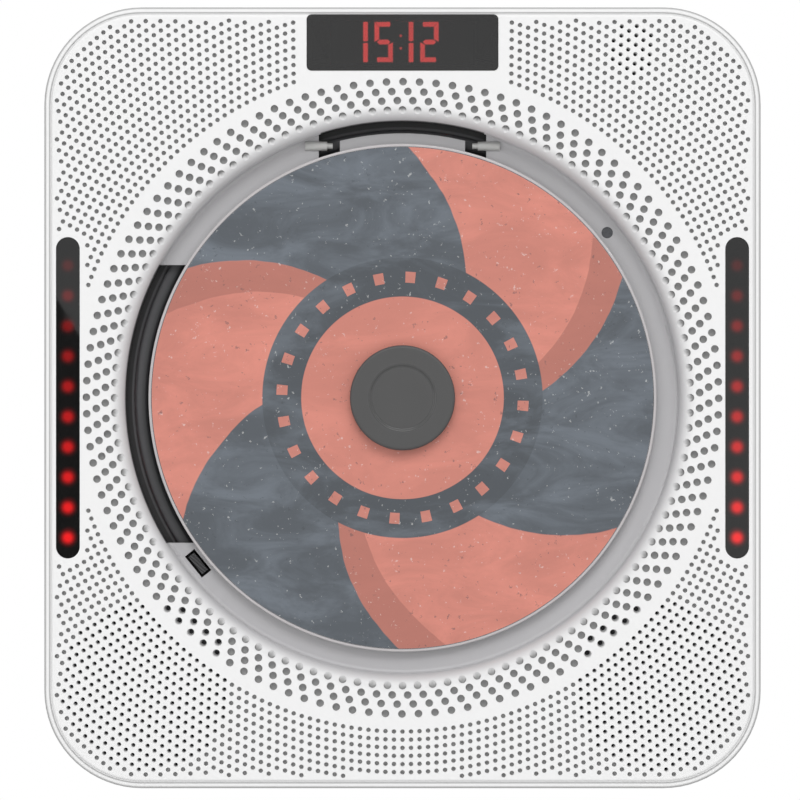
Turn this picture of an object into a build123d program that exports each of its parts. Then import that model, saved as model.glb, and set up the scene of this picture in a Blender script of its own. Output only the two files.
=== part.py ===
from build123d import *
import os
from math import acos, cos, pi, radians, sin, sqrt, tan

# Wall mounted cd player, in millimetres.
#
# Every piece is drawn as seen from the front of the player: X to the right, Y up and
# Z out of the wall, with Z = 0 on the wall. stand_up() then turns it into the part's
# frame: +Z up, the front facing -Y, and the origin on the wall at the middle of the
# wall plate's screw pattern, which is also the axis of the disc.

os.makedirs("parts", exist_ok=True)

# ---------------------------------------------------------------- driving dimensions

# Case
case_width = 168.8
case_height = 184.0
case_depth = 42.0
corner_radius = 23.0
shell_wall = 2.0
rim_wall = 1.4
rim_drop = 0.4
rim_rounding = 0.8
back_rounding = 4.0
wall_gap = 1.0
pad_radius = 5.0
pad_inset = 14.0
seam = 0.3
face_thickness = 2.2
face_rounding = 0.6
skirt_wall = 1.5
skirt_depth = 7.7
root_overlap = 0.5
vent_count = 7
vent_pitch = 4.0
vent_length = 60.0
vent_width = 1.8
vent_inset = 22.0

# Disc and its well
disc_radius = 60.0
disc_thickness = 1.2
disc_hole_radius = 7.5
well_gap = 5.2
lip_rounding = 3.5
foot_rounding = 1.0
ledge_drop = 6.5
ledge_thickness = 1.8
ledge_width = 19.2
disc_lift_above_ledge = 1.5

# Cut-outs of the ledge
crescent_top = 31.4
crescent_bottom = -34.3
crescent_width = 15.2
tongue_half_width = 14.8
notch_width = 5.0
notch_depth = 12.7
tongue_gap = 2.85
switch_slot_angle = 219.0
switch_slot_length = 6.4
switch_slot_width = 2.9
magnet_angle = 38.9
insert_inset = 3.0
magnet_radius = 1.35
magnet_thickness = 1.0
insert_sink = 0.3
cut_margin = 0.2
lens_window_margin = 0.4

# Hinge pins of a removable dust cover
hinge_pin_radius = 1.1
hinge_pin_tip_radius = 0.7
hinge_pin_bedded = 3.2
hinge_pin_free = 2.0
hinge_pin_tip = 1.3
hinge_axis_inset = 5.7

# Display and level lights
display_width = 45.0
display_height = 13.2
display_rounding = 1.2
window_flange = 1.0
display_thickness = 1.4
window_fit = 0.1
flange_fit = 0.2
level_width = 5.4
level_length = 75.5
level_inset = 5.6
level_count = 10
level_pitch = 7.12
light_radius = 1.65
light_height = 2.0
level_board_drop = 5.2
level_board_width = 6.0
level_board_shift = 0.9
level_post_radius = 1.6
level_post_reach = 2.9
level_board_margin = 1.4
display_board_drop = 7.3
display_board_left = -31.0
display_board_right = 63.0
display_board_height = 10.8
display_post_radius = 2.4
display_post_places = (-28.0, 28.0, 60.0)
module_width = 30.2
module_height = 10.0
module_gap = 0.2
module_opening_width = 34.0
module_opening_height = 10.4
segment_depth = 0.3
segment_gap = 0.2
colon_spacing = 3.0
colon_radius = 0.5
receiver_x = 53.0
receiver_width = 6.4
receiver_height = 7.0
receiver_thickness = 3.4
receiver_dome_radius = 2.5
digit_height = 9.25
digit_width = 4.65
segment_width = 1.15
digit_places = (-10.8, -4.45, 0.3, 6.35)
colon_x = -0.9
board_thickness = 1.6
small_board_thickness = 1.2

# Speakers
speaker_radius = 19.5
speaker_inset = 24.0
speaker_magnet_radius = 11.0
speaker_magnet_thickness = 6.0
speaker_back_plate = 1.2
speaker_depth = 9.8
speaker_sheet = 1.0
speaker_opening_gap = 0.3
cone_radius = 13.0
cone_drop = 1.4
cone_depth = 4.5
cone_paper = 0.6
cap_rise = 0.8
coil_radius = 5.0
surround_width = 3.2
surround_rise = 0.8

# Wall plate and its studs
plate_width = 80.0
plate_height = 60.0
plate_thickness = 1.5
plate_screw_x = 64.0
plate_screw_z = 44.0
plate_screw_radius = 2.25
plate_rounding = 4.0
pocket_rounding = 5.0
stud_x = 22.0
stud_upper = 16.0
stud_lower = -20.0
stud_neck_radius = 2.5
stud_head_radius = 4.5
stud_head_thickness = 1.5
stud_clearance = 0.3
lift_travel = 8.0
pocket_depth = 3.6
pocket_margin = 3.0

# Case screws and posts
post_radius = 3.8
screw_radius = 1.4
screw_head_radius = 2.8
screw_head_height = 2.0
screw_grip = 12.0
screw_clearance = 0.2
screw_tip_gap = 0.5
screw_socket_radius = 1.2
screw_socket_depth = 1.0
post_joint = 30.0
upper_post_inset = 16.2
middle_post_inset = 9.9
middle_post_rise = 45.2
lower_post_x = 37.0
lower_post_rise = 7.5

# Traverse: the frame that carries the disc's motor and the pickup
traverse_drop = 7.9
traverse_thickness = 1.2
motor_radius = 12.2
motor_length = 9.0
motor_boss_radius = 3.0
motor_boss_height = 1.6
shaft_radius = 1.0
running_gap = 0.05
motor_edge = 1.0
shaft_end_gap = 0.5
motor_floor = 1.5
turntable_radius = 15.0
turntable_thickness = 2.0
turntable_hub_radius = 5.0
turntable_hub_length = 2.0
turntable_opening_gap = 2.0
pad_thickness = 0.4
pad_width = 4.1
pad_edge = 0.4
boss_clearance = 0.1
boss_height = 0.6
rod_radius = 1.5
rod_spacing = 36.0
rod_start = 6.0
rod_overrun = 20.0
rod_rise = 4.0
rod_clamp_length = 3.0
rod_clamp_wall = 1.3
rod_clamp_cap = 1.1
lens_radius = 2.2
lens_start = 23.5
lens_end_inset = 3.0
lens_gap = 1.2
holder_gap = 0.7
pickup_width = 30.0
pickup_behind = 9.5
pickup_ahead = 8.0
holder_length = 12.0
holder_width = 9.0
focus_travel = 0.4
focus_gap = 0.3
pickup_step = 4.0
sled_clearance = 1.0
bearing_half_height = 2.2
bearing_wall = 1.1
fork_wall = 0.9
deck_thickness = 1.6
deck_drop = 4.0
deck_ring_inset = 1.7
deck_ring_width = 3.2
deck_ring_height = 1.5
damper_height = 3.5
damper_radius = 3.2
damper_fit = 0.2
small_screw_radius = 1.0
small_screw_head = 1.9
small_screw_head_height = 1.0
small_screw_fit = 0.1
traverse_rounding = 3.0
traverse_left = -26.0
traverse_upper = 30.0
traverse_lower = -54.0
traverse_window_top = 12.0
traverse_end_margin = 2.0
inner_damper_places = [(-20.0, 24.0), (-20.0, -40.0)]
outer_damper_inset = 7.4
damper_rod_distance = 7.4
lower_damper_angle = 299.2
boss_opening_gap = 0.3
deck_boss_radius = 2.8
deck_boss_inset = 11.5
deck_boss_angles = (45.0, 135.0, 229.6, 272.1)
deck_ring_rounding = 0.9
deck_overhang = 0.8
deck_screw_depth = 0.4
damper_screw_depth = 1.0
switch_body_width = 5.0
switch_body_length = 9.0
switch_body_depth = 4.5
plunger_width = 1.7
plunger_length = 5.2
plunger_fit = 0.3
plunger_travel = 1.2
plunger_root = 1.4
plunger_sink = 0.6

# Sled drive
rack_module = 0.8
pinion_teeth = 12
gear_module = 0.5
gear_teeth = 40
motor_teeth = 10
pressure_angle = 20.0
backlash = 0.2
tooth_tip = 0.85
tooth_root = 1.15
rack_tip = 0.8
rack_root = 1.0
rack_offset = 9.0
rack_depth = 3.2
rack_thickness = 2.2
gear_clearance = 0.5
gear_face = 1.8
pinion_face = 3.0
rack_clearance = 0.4
axle_end = 0.6
gear_x = 38.0
motor_direction = -20.0

# Clamp on the disc
clamp_radius = 12.4
clamp_height = 2.7
clamp_rounding = 1.1
clamp_dish_radius = 7.9
clamp_dish_depth = 0.4
clamp_magnet_radius = 6.0
clamp_magnet_thickness = 1.0
clamp_boss_gap = 0.4
clamp_hollow_fit = 0.3
disc_edge = 0.12

# Main board and sockets
board_width = 64.0
board_top = -4.0
board_level = 10.0
board_edge_gap = 1.0
board_post_x = 28.0
board_post_radius = 3.0
board_post_rise = 19.0
board_post_edge = 5.0
board_screw_depth = 3.0
board_screw_head_height = 1.2
socket_gap = 0.3
wall_fit = 0.1
socket_nose = 1.6
audio_x = -6.0
audio_width = 6.0
audio_length = 12.0
audio_height = 5.0
audio_bore_radius = 1.8
audio_bore_length = 12.6
audio_nose_radius = 2.45
audio_hole_gap = 0.75
power_x = 21.0
power_width = 9.0
power_length = 14.0
power_height = 10.8
power_bore_radius = 3.15
power_bore_length = 9.5
power_pin_radius = 1.0
power_pin_sink = 0.8
power_hole_gap = 1.0
usb_x = -21.0
usb_width = 13.1
usb_height = 5.7
usb_length = 14.0
usb_nose = 1.5
usb_sheet = 0.4
tongue_width = 11.0
tongue_thickness = 1.8
tongue_level = 3.2
tongue_sink = 0.6
switch_x = 6.5
switch_width = 8.6
switch_length = 3.8
switch_height = 4.8
knob_width = 3.0
knob_height = 2.4
knob_rise = 2.4
knob_sink = 0.4
knob_root = 2.2
knob_fit = 0.2
knob_travel = 2.5
capacitor_radius = 3.15
capacitor_height = 7.0
# x, height above the board's lower edge, width, height and thickness of each chip or connector
chips = [
    (-8.0, 40.0, 12.0, 12.0, 1.4), (12.0, 44.0, 10.0, 10.0, 1.2), (10.0, 25.0, 7.0, 6.0, 1.6),
    (-12.0, 68.0, 8.0, 5.0, 1.2), (14.0, 64.0, 14.0, 6.0, 1.3), (-2.0, 56.0, 16.0, 4.0, 1.2),
]
capacitors = [(-22.0, 26.0), (-22.0, 35.0), (22.0, 28.0)]

# Buttons on the top edge
button_count = 5
button_spacing = 4.0
button_length = 10.0
button_depth = 5.0
button_gap = 0.3
button_travel = 0.5
button_level = 17.0
button_flange = 1.0
button_flange_thickness = 0.6
button_rounding = 0.4
button_board_depth = 13.0
button_board_margin = 11.0
button_board_drop = 6.2
button_foot_width = 4.0
button_foot_height = 6.0
press_switch_size = 6.0
press_switch_height = 3.5
press_switch_stem = 1.7
press_switch_gap = 0.1

# ---------------------------------------------------------------- derived places

def polar(radius, angle):
    """Point at a radius and an angle in degrees, from +X towards +Y."""
    return (radius * cos(radians(angle)), radius * sin(radians(angle)))


half_width = case_width / 2
half_height = case_height / 2
floor_level = wall_gap + shell_wall
cover_inset = rim_wall + seam
face_level = case_depth
face_underside = face_level - face_thickness
skirt_bottom = face_level - skirt_depth
skirt_inset = cover_inset + skirt_wall
well_radius = disc_radius + well_gap
lip_radius = well_radius + lip_rounding
ledge_opening_radius = well_radius - ledge_width
crescent_inner_radius = well_radius - crescent_width
insert_circle_radius = well_radius - insert_inset
notch_bottom = well_radius - notch_depth
hinge_axis_height = well_radius - hinge_axis_inset
ledge_level = face_level - ledge_drop
ledge_underside = ledge_level - ledge_thickness
disc_back = ledge_level + disc_lift_above_ledge
disc_front = disc_back + disc_thickness
deck_level = ledge_level - deck_drop
deck_underside = deck_level - deck_thickness
deck_radius = well_radius + deck_overhang
deck_ring_outer = well_radius - deck_ring_inset
deck_ring_inner = deck_ring_outer - deck_ring_width
traverse_level = deck_underside - traverse_drop
traverse_top = traverse_level + traverse_thickness
rod_level = traverse_level + rod_rise
lens_end = disc_radius - lens_end_inset
rod_end = lens_end + rod_overrun
traverse_right = rod_end + traverse_end_margin
damper_top = traverse_top + damper_height
damper_screw_tip = deck_underside + damper_screw_depth
deck_screw_tip = ledge_underside + deck_screw_depth
level_post_y = level_length / 2 + level_post_reach
boss_radius = disc_hole_radius - boss_clearance
boss_top = disc_front + boss_height
turntable_top = disc_back - pad_thickness
turntable_bottom = turntable_top - turntable_thickness
lens_top = disc_back - lens_gap
holder_top = ledge_underside - focus_travel - window_fit
holder_bottom = deck_underside + window_fit
pickup_top = holder_bottom - focus_travel - focus_gap
pickup_bottom = traverse_top + sled_clearance
lens_travel = lens_end - lens_start
pocket_ceiling = wall_gap + pocket_depth
pocket_inside = pocket_ceiling + shell_wall
pocket_half_width = plate_width / 2 + pocket_margin
pocket_top = plate_height / 2 + pocket_margin
pocket_bottom = -plate_height / 2 - pocket_margin - lift_travel
speaker_x = half_width - speaker_inset
speaker_y = -half_height + speaker_inset
display_bottom = half_height - cover_inset - display_height
display_middle = display_bottom + display_height / 2
level_x = half_width - level_inset
board_bottom = -half_height + shell_wall + board_edge_gap
board_face = board_level + board_thickness
button_pitch = button_length + button_spacing
board_screw_tip = board_level - board_screw_depth
socket_front = -half_height + shell_wall + wall_fit

sides = {"left": -1, "right": 1}
case_posts = [
    (side * x, y)
    for side in (-1, 1)
    for x, y in (
        (half_width - upper_post_inset, half_height - upper_post_inset),
        (half_width - middle_post_inset, -half_height + middle_post_rise),
        (lower_post_x, -half_height + lower_post_rise),
    )
]
stud_places = [(side * stud_x, y) for side in (-1, 1) for y in (stud_upper, stud_lower)]
board_posts = [
    (side * board_post_x, y)
    for side in (-1, 1)
    for y in (board_bottom + board_post_rise, board_top - board_post_edge)
]
damper_circle = deck_radius - outer_damper_inset
damper_row = rod_spacing / 2 + damper_rod_distance
damper_places = inner_damper_places + [
    (sqrt(damper_circle**2 - damper_row**2), damper_row),
    polar(damper_circle, lower_damper_angle),
]
deck_boss_places = [polar(well_radius - deck_boss_inset, angle) for angle in deck_boss_angles]

rack_pitch_radius = rack_module * pinion_teeth / 2
gear_radius = gear_module * gear_teeth / 2
motor_gear_radius = gear_module * motor_teeth / 2
rack_line = -rod_spacing / 2 - rack_offset
gear_y = rack_line - rack_pitch_radius
gear_distance = gear_radius + motor_gear_radius
sled_motor_x = gear_x + gear_distance * cos(radians(motor_direction))
sled_motor_y = gear_y + gear_distance * sin(radians(motor_direction))
gear_bottom = traverse_top + gear_clearance
gear_top = gear_bottom + gear_face
rack_bottom = gear_top + rack_clearance

display_board_top = face_underside - display_board_drop
level_board_top = face_underside - level_board_drop
speaker_seat = face_underside - speaker_depth
cone_top = face_underside - cone_drop
clamp_hollow = boss_top + clamp_boss_gap
motor_bottom = traverse_level - motor_length
audio_level = board_face + audio_height / 2
power_level = board_face + power_height / 2
knob_level = board_face + knob_rise
button_board_width = button_pitch * (button_count - 1) + 2 * button_board_margin
button_board_y = half_height - shell_wall - button_board_drop
cap_underside = half_height - shell_wall - button_gap - button_flange_thickness


# ---------------------------------------------------------------- shared shapes

def stand_up(shape):
    """Turn a piece from the front view into the part's frame."""
    return Plane.XZ.location * shape


def slab(profile, low, high):
    """Flat outline given thickness between two levels above the wall."""
    return Pos(0, 0, low) * extrude(profile, high - low)


def rod(radius, low, high, at=(0, 0)):
    """Round bar square to the wall."""
    return slab(Pos(at[0], at[1]) * Circle(radius), low, high)


def ring(outer, inner, low, high, at=(0, 0)):
    """Round bar with a hole."""
    return slab(Pos(at[0], at[1]) * (Circle(outer) - Circle(inner)), low, high)


def block(left, right, bottom, top, low, high):
    """Rectangular block from its six faces."""
    plan = Pos((left + right) / 2, (bottom + top) / 2) * Rectangle(right - left, top - bottom)
    return slab(plan, low, high)


def case_outline(inset):
    """Outline of the case, drawn in by an inset."""
    return RectangleRounded(case_width - 2 * inset, case_height - 2 * inset, corner_radius - inset)


def upright_bar(radius, x, level, bottom, top):
    """Round bar along Y."""
    return Pos(x, bottom, level) * Rot(-90, 0, 0) * extrude(Circle(radius), top - bottom)


def cross_bar(radius, y, level, left, right):
    """Round bar along X."""
    return Pos(left, y, level) * Rot(0, 90, 0) * extrude(Circle(radius), right - left)


def turned(points):
    """Solid of revolution about the disc's axis from (radius, level) corners."""
    outline = Polyline(*[(radius, 0, level) for radius, level in points], close=True)
    return revolve(make_face(outline), Axis.Z)


def rounded_top(shape, level, radius):
    """Round the edges of a piece that lie at one level."""
    edges = shape.edges().filter_by_position(Axis.Z, level - 0.01, level + 0.01)
    return fillet(edges, radius)


def group(solids):
    """Several separate solids in one node."""
    return Compound([solid for shape in solids for solid in shape.solids()])


# ---------------------------------------------------------------- wall plate

def wall_plate():
    """Steel plate with four screw holes and the holes that the studs are riveted in."""
    plan = RectangleRounded(plate_width, plate_height, plate_rounding)
    for x in (-plate_screw_x / 2, plate_screw_x / 2):
        for y in (-plate_screw_z / 2, plate_screw_z / 2):
            plan -= Pos(x, y) * Circle(plate_screw_radius)
    for x, y in stud_places:
        plan -= Pos(x, y) * Circle(stud_neck_radius)
    return slab(plan, 0, plate_thickness)


def hanger_studs():
    """Mushroom studs that the case hangs on by its keyholes."""
    neck_top = pocket_inside + stud_clearance
    studs = []
    for x, y in stud_places:
        neck = rod(stud_neck_radius, 0, neck_top, (x, y))
        head = rod(stud_head_radius, neck_top, neck_top + stud_head_thickness, (x, y))
        studs.append(neck + head)
    return group(studs)


# ---------------------------------------------------------------- case

def keyhole(x, y):
    """Narrow slot that ends on the stud, with a wide hole one lift below it."""
    slot_radius = stud_neck_radius + stud_clearance
    slot = Pos(x, y - lift_travel / 2) * SlotCenterToCenter(lift_travel, 2 * slot_radius, rotation=90)
    return slot + Pos(x, y - lift_travel) * Circle(stud_head_radius + 2 * stud_clearance)


def button_places():
    """Places of the buttons along the top edge."""
    first = -button_pitch * (button_count - 1) / 2
    return [first + button_pitch * index for index in range(button_count)]


def rear_cover():
    """Tub with a thin rim, a pocket for the wall plate, posts and the socket openings."""
    rim_level = face_level - rim_drop
    tub = slab(case_outline(0), wall_gap, rim_level)
    tub = rounded_top(tub, wall_gap, back_rounding)
    tub = rounded_top(tub, rim_level, rim_rounding)
    tub -= slab(case_outline(shell_wall), floor_level, skirt_bottom - seam)
    tub -= slab(case_outline(rim_wall), skirt_bottom - seam, rim_level)

    pocket_height = pocket_top - pocket_bottom
    pocket_place = Pos(0, (pocket_top + pocket_bottom) / 2)
    pocket_plan = pocket_place * RectangleRounded(2 * pocket_half_width, pocket_height, pocket_rounding)
    tub += slab(offset(pocket_plan, amount=shell_wall), wall_gap, pocket_inside)
    for place in board_posts:
        tub += rod(board_post_radius, floor_level - root_overlap, board_level, place)
        tub -= rod(small_screw_radius, board_screw_tip - cut_margin, board_level, place)
    tub -= slab(pocket_plan, wall_gap, pocket_ceiling)
    for x, y in stud_places:
        tub -= slab(keyhole(x, y), pocket_ceiling, pocket_inside)

    for place in case_posts:
        tub += rod(post_radius, floor_level - root_overlap, post_joint, place)
        head_level = post_joint - screw_grip / 2
        tub -= rod(screw_head_radius + screw_clearance, wall_gap, head_level, place)
        tub -= rod(screw_radius + screw_clearance, head_level, post_joint, place)

    foot_top = button_level - button_board_depth / 2
    for side in (-1, 1):
        place = Pos(side * (button_board_width / 2 - button_foot_width), button_board_y)
        foot = place * Rectangle(button_foot_width, button_foot_height)
        tub += slab(foot, floor_level - root_overlap, foot_top)

    for index in range(vent_count):
        y = half_height - vent_inset - vent_pitch * index
        tub -= slab(Pos(0, y) * SlotOverall(vent_length, vent_width), wall_gap, floor_level)

    for x in button_places():
        tub -= button_window(x)
    return tub - socket_openings()


def button_window(x):
    """Opening of one button in the top wall."""
    half_length = button_length / 2 + button_gap
    half_depth = button_depth / 2 + button_gap
    return block(
        x - half_length, x + half_length, half_height - shell_wall - 1, half_height + 1,
        button_level - half_depth, button_level + half_depth,
    )


def socket_openings():
    """Openings of the sockets and of the power switch in the bottom wall."""
    bottom = -half_height - 1
    top = -half_height + shell_wall + 1
    audio = upright_bar(audio_nose_radius + audio_hole_gap, audio_x, audio_level, bottom, top)
    power = upright_bar(power_bore_radius + power_hole_gap, power_x, power_level, bottom, top)
    usb = block(
        usb_x - usb_width / 2 - socket_gap, usb_x + usb_width / 2 + socket_gap, bottom, top,
        board_face - socket_gap, board_face + usb_height + socket_gap,
    )
    reach = (knob_width + knob_travel) / 2 + socket_gap
    slot = block(
        switch_x - reach, switch_x + reach, bottom, top,
        knob_level - knob_height / 2 - socket_gap, knob_level + knob_height / 2 + socket_gap,
    )
    return audio + power + usb + slot


def wall_pads():
    """Soft pads between the case and the wall."""
    pads = []
    for x in (-half_width + pad_inset, half_width - pad_inset):
        for y in (-half_height + pad_inset, half_height - pad_inset):
            pads.append(rod(pad_radius, 0, wall_gap, (x, y)))
    return group(pads)


def level_window_plan(side):
    """Pill outline of one level window."""
    return Pos(side * level_x, 0) * SlotOverall(level_length, level_width, rotation=90)


def level_flange_plan(side):
    """Wider outline behind a level window, on its inner side and at its ends."""
    outer = level_x + level_width / 2
    inner = level_x - level_width / 2 - window_flange
    middle = side * (outer + inner) / 2
    return Pos(middle, 0) * Rectangle(outer - inner, level_length + 2 * window_flange)


def grown(plan, gap):
    """Outline grown by a clearance."""
    return offset(plan, amount=gap, kind=Kind.INTERSECTION)


def display_plan(gap):
    """Outline of the display window, open towards the top edge of the face."""
    width = display_width + 2 * gap
    height = display_height + gap
    return Pos(0, display_bottom - gap + height / 2) * RectangleRounded(width, height, display_rounding)


def front_cover():
    """Face with its skirt, the round well, the ledge with its cut-outs, and posts."""
    cover = slab(case_outline(cover_inset), face_underside, face_level)
    cover = rounded_top(cover, face_level, face_rounding)
    cover += slab(case_outline(cover_inset) - case_outline(skirt_inset), skirt_bottom, face_underside)

    cover -= rod(lip_radius, face_underside, face_level)
    lip_level = face_level - lip_rounding
    foot_level = ledge_level + foot_rounding
    inner_foot = well_radius - foot_rounding
    half_turn = sqrt(0.5)
    with BuildPart() as well:
        with BuildSketch(Plane.XZ):
            with BuildLine():
                Polyline(
                    (well_radius, lip_level), (well_radius, foot_level)
                )
                ThreePointArc(
                    (well_radius, foot_level),
                    (inner_foot + foot_rounding * half_turn, foot_level - foot_rounding * half_turn),
                    (inner_foot, ledge_level),
                )
                Polyline(
                    (inner_foot, ledge_level),
                    (ledge_opening_radius, ledge_level),
                    (ledge_opening_radius, ledge_underside),
                    (well_radius + ledge_thickness, ledge_underside),
                    (well_radius + ledge_thickness, face_underside),
                    (lip_radius + root_overlap, face_underside),
                    (lip_radius + root_overlap, face_level),
                    (lip_radius, face_level),
                )
                ThreePointArc(
                    (lip_radius, face_level),
                    (lip_radius - lip_rounding * half_turn, lip_level + lip_rounding * half_turn),
                    (well_radius, lip_level),
                )
            make_face()
        revolve(axis=Axis.Z)
    cover += well.part
    cover -= ledge_cuts()

    for side in sides.values():
        cover -= slab(grown(level_window_plan(side), window_fit), face_underside - window_flange, face_level)
        flange_room = face_underside - 2 * window_flange - flange_fit
        cover -= slab(grown(level_flange_plan(side), flange_fit), flange_room, face_underside)
        for y in (-level_post_y, level_post_y):
            place = (side * (level_x - level_board_shift), y)
            cover += rod(level_post_radius, level_board_top, face_underside, place)
    cover -= slab(display_plan(window_fit), face_level - display_thickness, face_level)
    opening = Pos(0, display_middle) * Rectangle(module_opening_width, module_opening_height)
    cover -= slab(opening, face_underside, face_level)
    for x in display_post_places:
        cover += rod(display_post_radius, display_board_top, face_underside, (x, display_middle))

    for place in case_posts:
        cover += rod(post_radius, post_joint, face_underside, place)
        cover -= rod(screw_radius, post_joint, post_joint + screw_grip / 2 + screw_tip_gap, place)
    for place in deck_boss_places:
        cover += rod(deck_boss_radius, deck_level, ledge_underside, place)
        cover -= rod(small_screw_radius, deck_level, deck_screw_tip + cut_margin, place)
    return cover


def ledge_cuts():
    """Cut-outs through the ledge: finger crescent, hinge notches, switch slot, lens window."""
    low = ledge_underside - cut_margin
    high = ledge_level + foot_rounding + 2 * cut_margin
    band = Circle(well_radius + cut_margin / 2) - Circle(crescent_inner_radius)
    crescent_height = crescent_top - crescent_bottom
    crescent_middle = (crescent_top + crescent_bottom) / 2
    window = Pos(-well_radius, crescent_middle) * Rectangle(2 * well_radius, crescent_height)
    cuts = slab(band & window, low, high)

    notch_outer = tongue_half_width + notch_width
    slot_radius = well_radius + cut_margin
    above_notch = Pos(0, notch_bottom + well_radius / 2) * Rectangle(2 * notch_outer, well_radius)
    arch = Circle(slot_radius) & above_notch
    tongue_strip = Pos(0, well_radius / 2) * Rectangle(2 * tongue_half_width, well_radius)
    tongue = Circle(slot_radius - tongue_gap) & tongue_strip
    cuts += slab(arch - tongue, low, high)

    cuts += slab(on_switch(switch_slot_width, switch_slot_length), low, high)
    magnet_floor = ledge_level - magnet_thickness - insert_sink
    cuts += rod(magnet_radius, magnet_floor, high, polar(insert_circle_radius, magnet_angle))

    half_window = lens_radius + lens_window_margin
    cuts += block(
        ledge_opening_radius - root_overlap, lens_end + half_window,
        -half_window, half_window, low, high,
    )
    for side in sides.values():
        inner = tongue_half_width + notch_width
        outer = inner + hinge_pin_bedded
        left, right = sorted((side * inner, side * outer))
        cuts += cross_bar(hinge_pin_radius, hinge_axis_height, ledge_level, left, right)
    return cuts


def hinge_pins():
    """Two short pins for the dust cover's arms, bedded in the ledge beside the notches."""
    pins = []
    inner = tongue_half_width + notch_width
    for side in sides.values():
        left, right = sorted((side * (inner - hinge_pin_free), side * (inner + hinge_pin_bedded)))
        pin = cross_bar(hinge_pin_radius, hinge_axis_height, ledge_level, left, right)
        start = inner - hinge_pin_free
        left, right = sorted((side * (start - hinge_pin_tip), side * start))
        pins.append(pin + cross_bar(hinge_pin_tip_radius, hinge_axis_height, ledge_level, left, right))
    return group(pins)


def case_screws():
    """Six screws from the back that hold the two covers together."""
    screws = []
    head_level = post_joint - screw_grip / 2
    for place in case_posts:
        head = rod(screw_head_radius, head_level - screw_head_height, head_level, place)
        socket_end = head_level - screw_head_height + screw_socket_depth
        head -= rod(screw_socket_radius, head_level - screw_head_height, socket_end, place)
        screws.append(head + rod(screw_radius, head_level, post_joint + screw_grip / 2, place))
    return group(screws)


# ---------------------------------------------------------------- display and levels

def display_window():
    """Dark clear plate in the top of the face."""
    return slab(display_plan(0), face_level - display_thickness, face_level)


def display_module():
    """Four-digit clock module behind the display window."""
    plan = Pos(0, display_middle) * Rectangle(module_width, module_height)
    return slab(plan, display_board_top, face_underside - module_gap) - display_segments()


def display_segments():
    """Lit bars of the clock, one solid for each bar."""
    top = face_underside - module_gap
    return slab(segment_plans(), top - segment_depth, top)


def bar(x, y, length, upright):
    """One bar of a digit, with pointed ends."""
    half = length / 2
    thick = segment_width / 2
    corners = [
        (-half, 0), (-half + thick, thick), (half - thick, thick),
        (half, 0), (half - thick, -thick), (-half + thick, -thick),
    ]
    plan = make_face(Polyline(*corners, close=True))
    return Pos(x, y) * Rot(0, 0, 90 if upright else 0) * plan


def segment_plans():
    """Plan of the lit bars of the time on the display, and its colon."""
    upright = digit_height / 2 - segment_width / 2
    flat = digit_width - segment_width
    up = (upright + segment_gap) / 2
    side = digit_width / 2 - segment_width / 2
    level = digit_height / 2 - segment_width / 2
    bars = {
        "top": (0, level, flat, False), "middle": (0, 0, flat, False), "bottom": (0, -level, flat, False),
        "upper left": (-side, up, upright, True), "upper right": (side, up, upright, True),
        "lower left": (-side, -up, upright, True), "lower right": (side, -up, upright, True),
    }
    shown = [
        (digit_places[0], ("upper right", "lower right")),
        (digit_places[1], ("top", "upper left", "middle", "lower right", "bottom")),
        (digit_places[2], ("upper right", "lower right")),
        (digit_places[3], ("top", "upper right", "middle", "lower left", "bottom")),
    ]
    plans = Sketch()
    for x, names in shown:
        for name in names:
            dx, dy, length, stands = bars[name]
            plans += bar(x + dx, display_middle + dy, length - segment_gap, stands)
    for dy in (-colon_spacing / 2, colon_spacing / 2):
        plans += Pos(colon_x, display_middle + dy) * Circle(colon_radius)
    return plans


def display_board():
    """Circuit board of the clock and of the remote receiver."""
    half = display_board_height / 2
    return block(
        display_board_left, display_board_right, display_middle - half, display_middle + half,
        display_board_top - board_thickness, display_board_top,
    )


def ir_receiver():
    """Remote receiver with its domed lens, on the display board."""
    top = display_board_top + receiver_thickness
    plan = Pos(receiver_x, display_middle) * Rectangle(receiver_width, receiver_height)
    dome = Pos(receiver_x, display_middle, top) * Sphere(receiver_dome_radius)
    return slab(plan, display_board_top, top) + dome


def level_window(side):
    """Dark clear pill in the face with a flange behind it."""
    return slab(level_window_plan(side), face_underside, face_level) + slab(
        level_flange_plan(side), face_underside - window_flange, face_underside
    )


def level_lights(side):
    """Column of level lights: round lamps with domed tops."""
    lights = []
    for index in range(level_count):
        y = (index - (level_count - 1) / 2) * level_pitch
        dome_level = level_board_top + light_height
        lamp = rod(light_radius, level_board_top, dome_level, (side * level_x, y))
        dome = Pos(side * level_x, y, dome_level) * Sphere(light_radius)
        lights.append(lamp + dome)
    return group(lights)


def level_board(side):
    """Narrow circuit board under a column of lights."""
    length = 2 * (level_post_y + level_board_margin)
    plan = Pos(side * (level_x - level_board_shift), 0) * Rectangle(level_board_width, length)
    return slab(plan, level_board_top - small_board_thickness, level_board_top)


# ---------------------------------------------------------------- speakers

def speaker_frame(side):
    """Steel basket: flange against the face, sloping wall and a seat for the magnet."""
    opening = cone_radius + surround_width + speaker_opening_gap
    inner_seat = speaker_magnet_radius - speaker_sheet
    neck = coil_radius + speaker_sheet
    shell = turned([
        (speaker_radius, face_underside), (opening, face_underside),
        (opening, cone_top - cone_paper), (inner_seat, speaker_seat + speaker_sheet),
        (neck, speaker_seat + speaker_sheet), (neck, speaker_seat),
        (speaker_magnet_radius, speaker_seat), (opening + speaker_sheet, face_underside - speaker_sheet),
        (speaker_radius, face_underside - speaker_sheet),
    ])
    return Pos(side * speaker_x, speaker_y, 0) * shell


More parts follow.
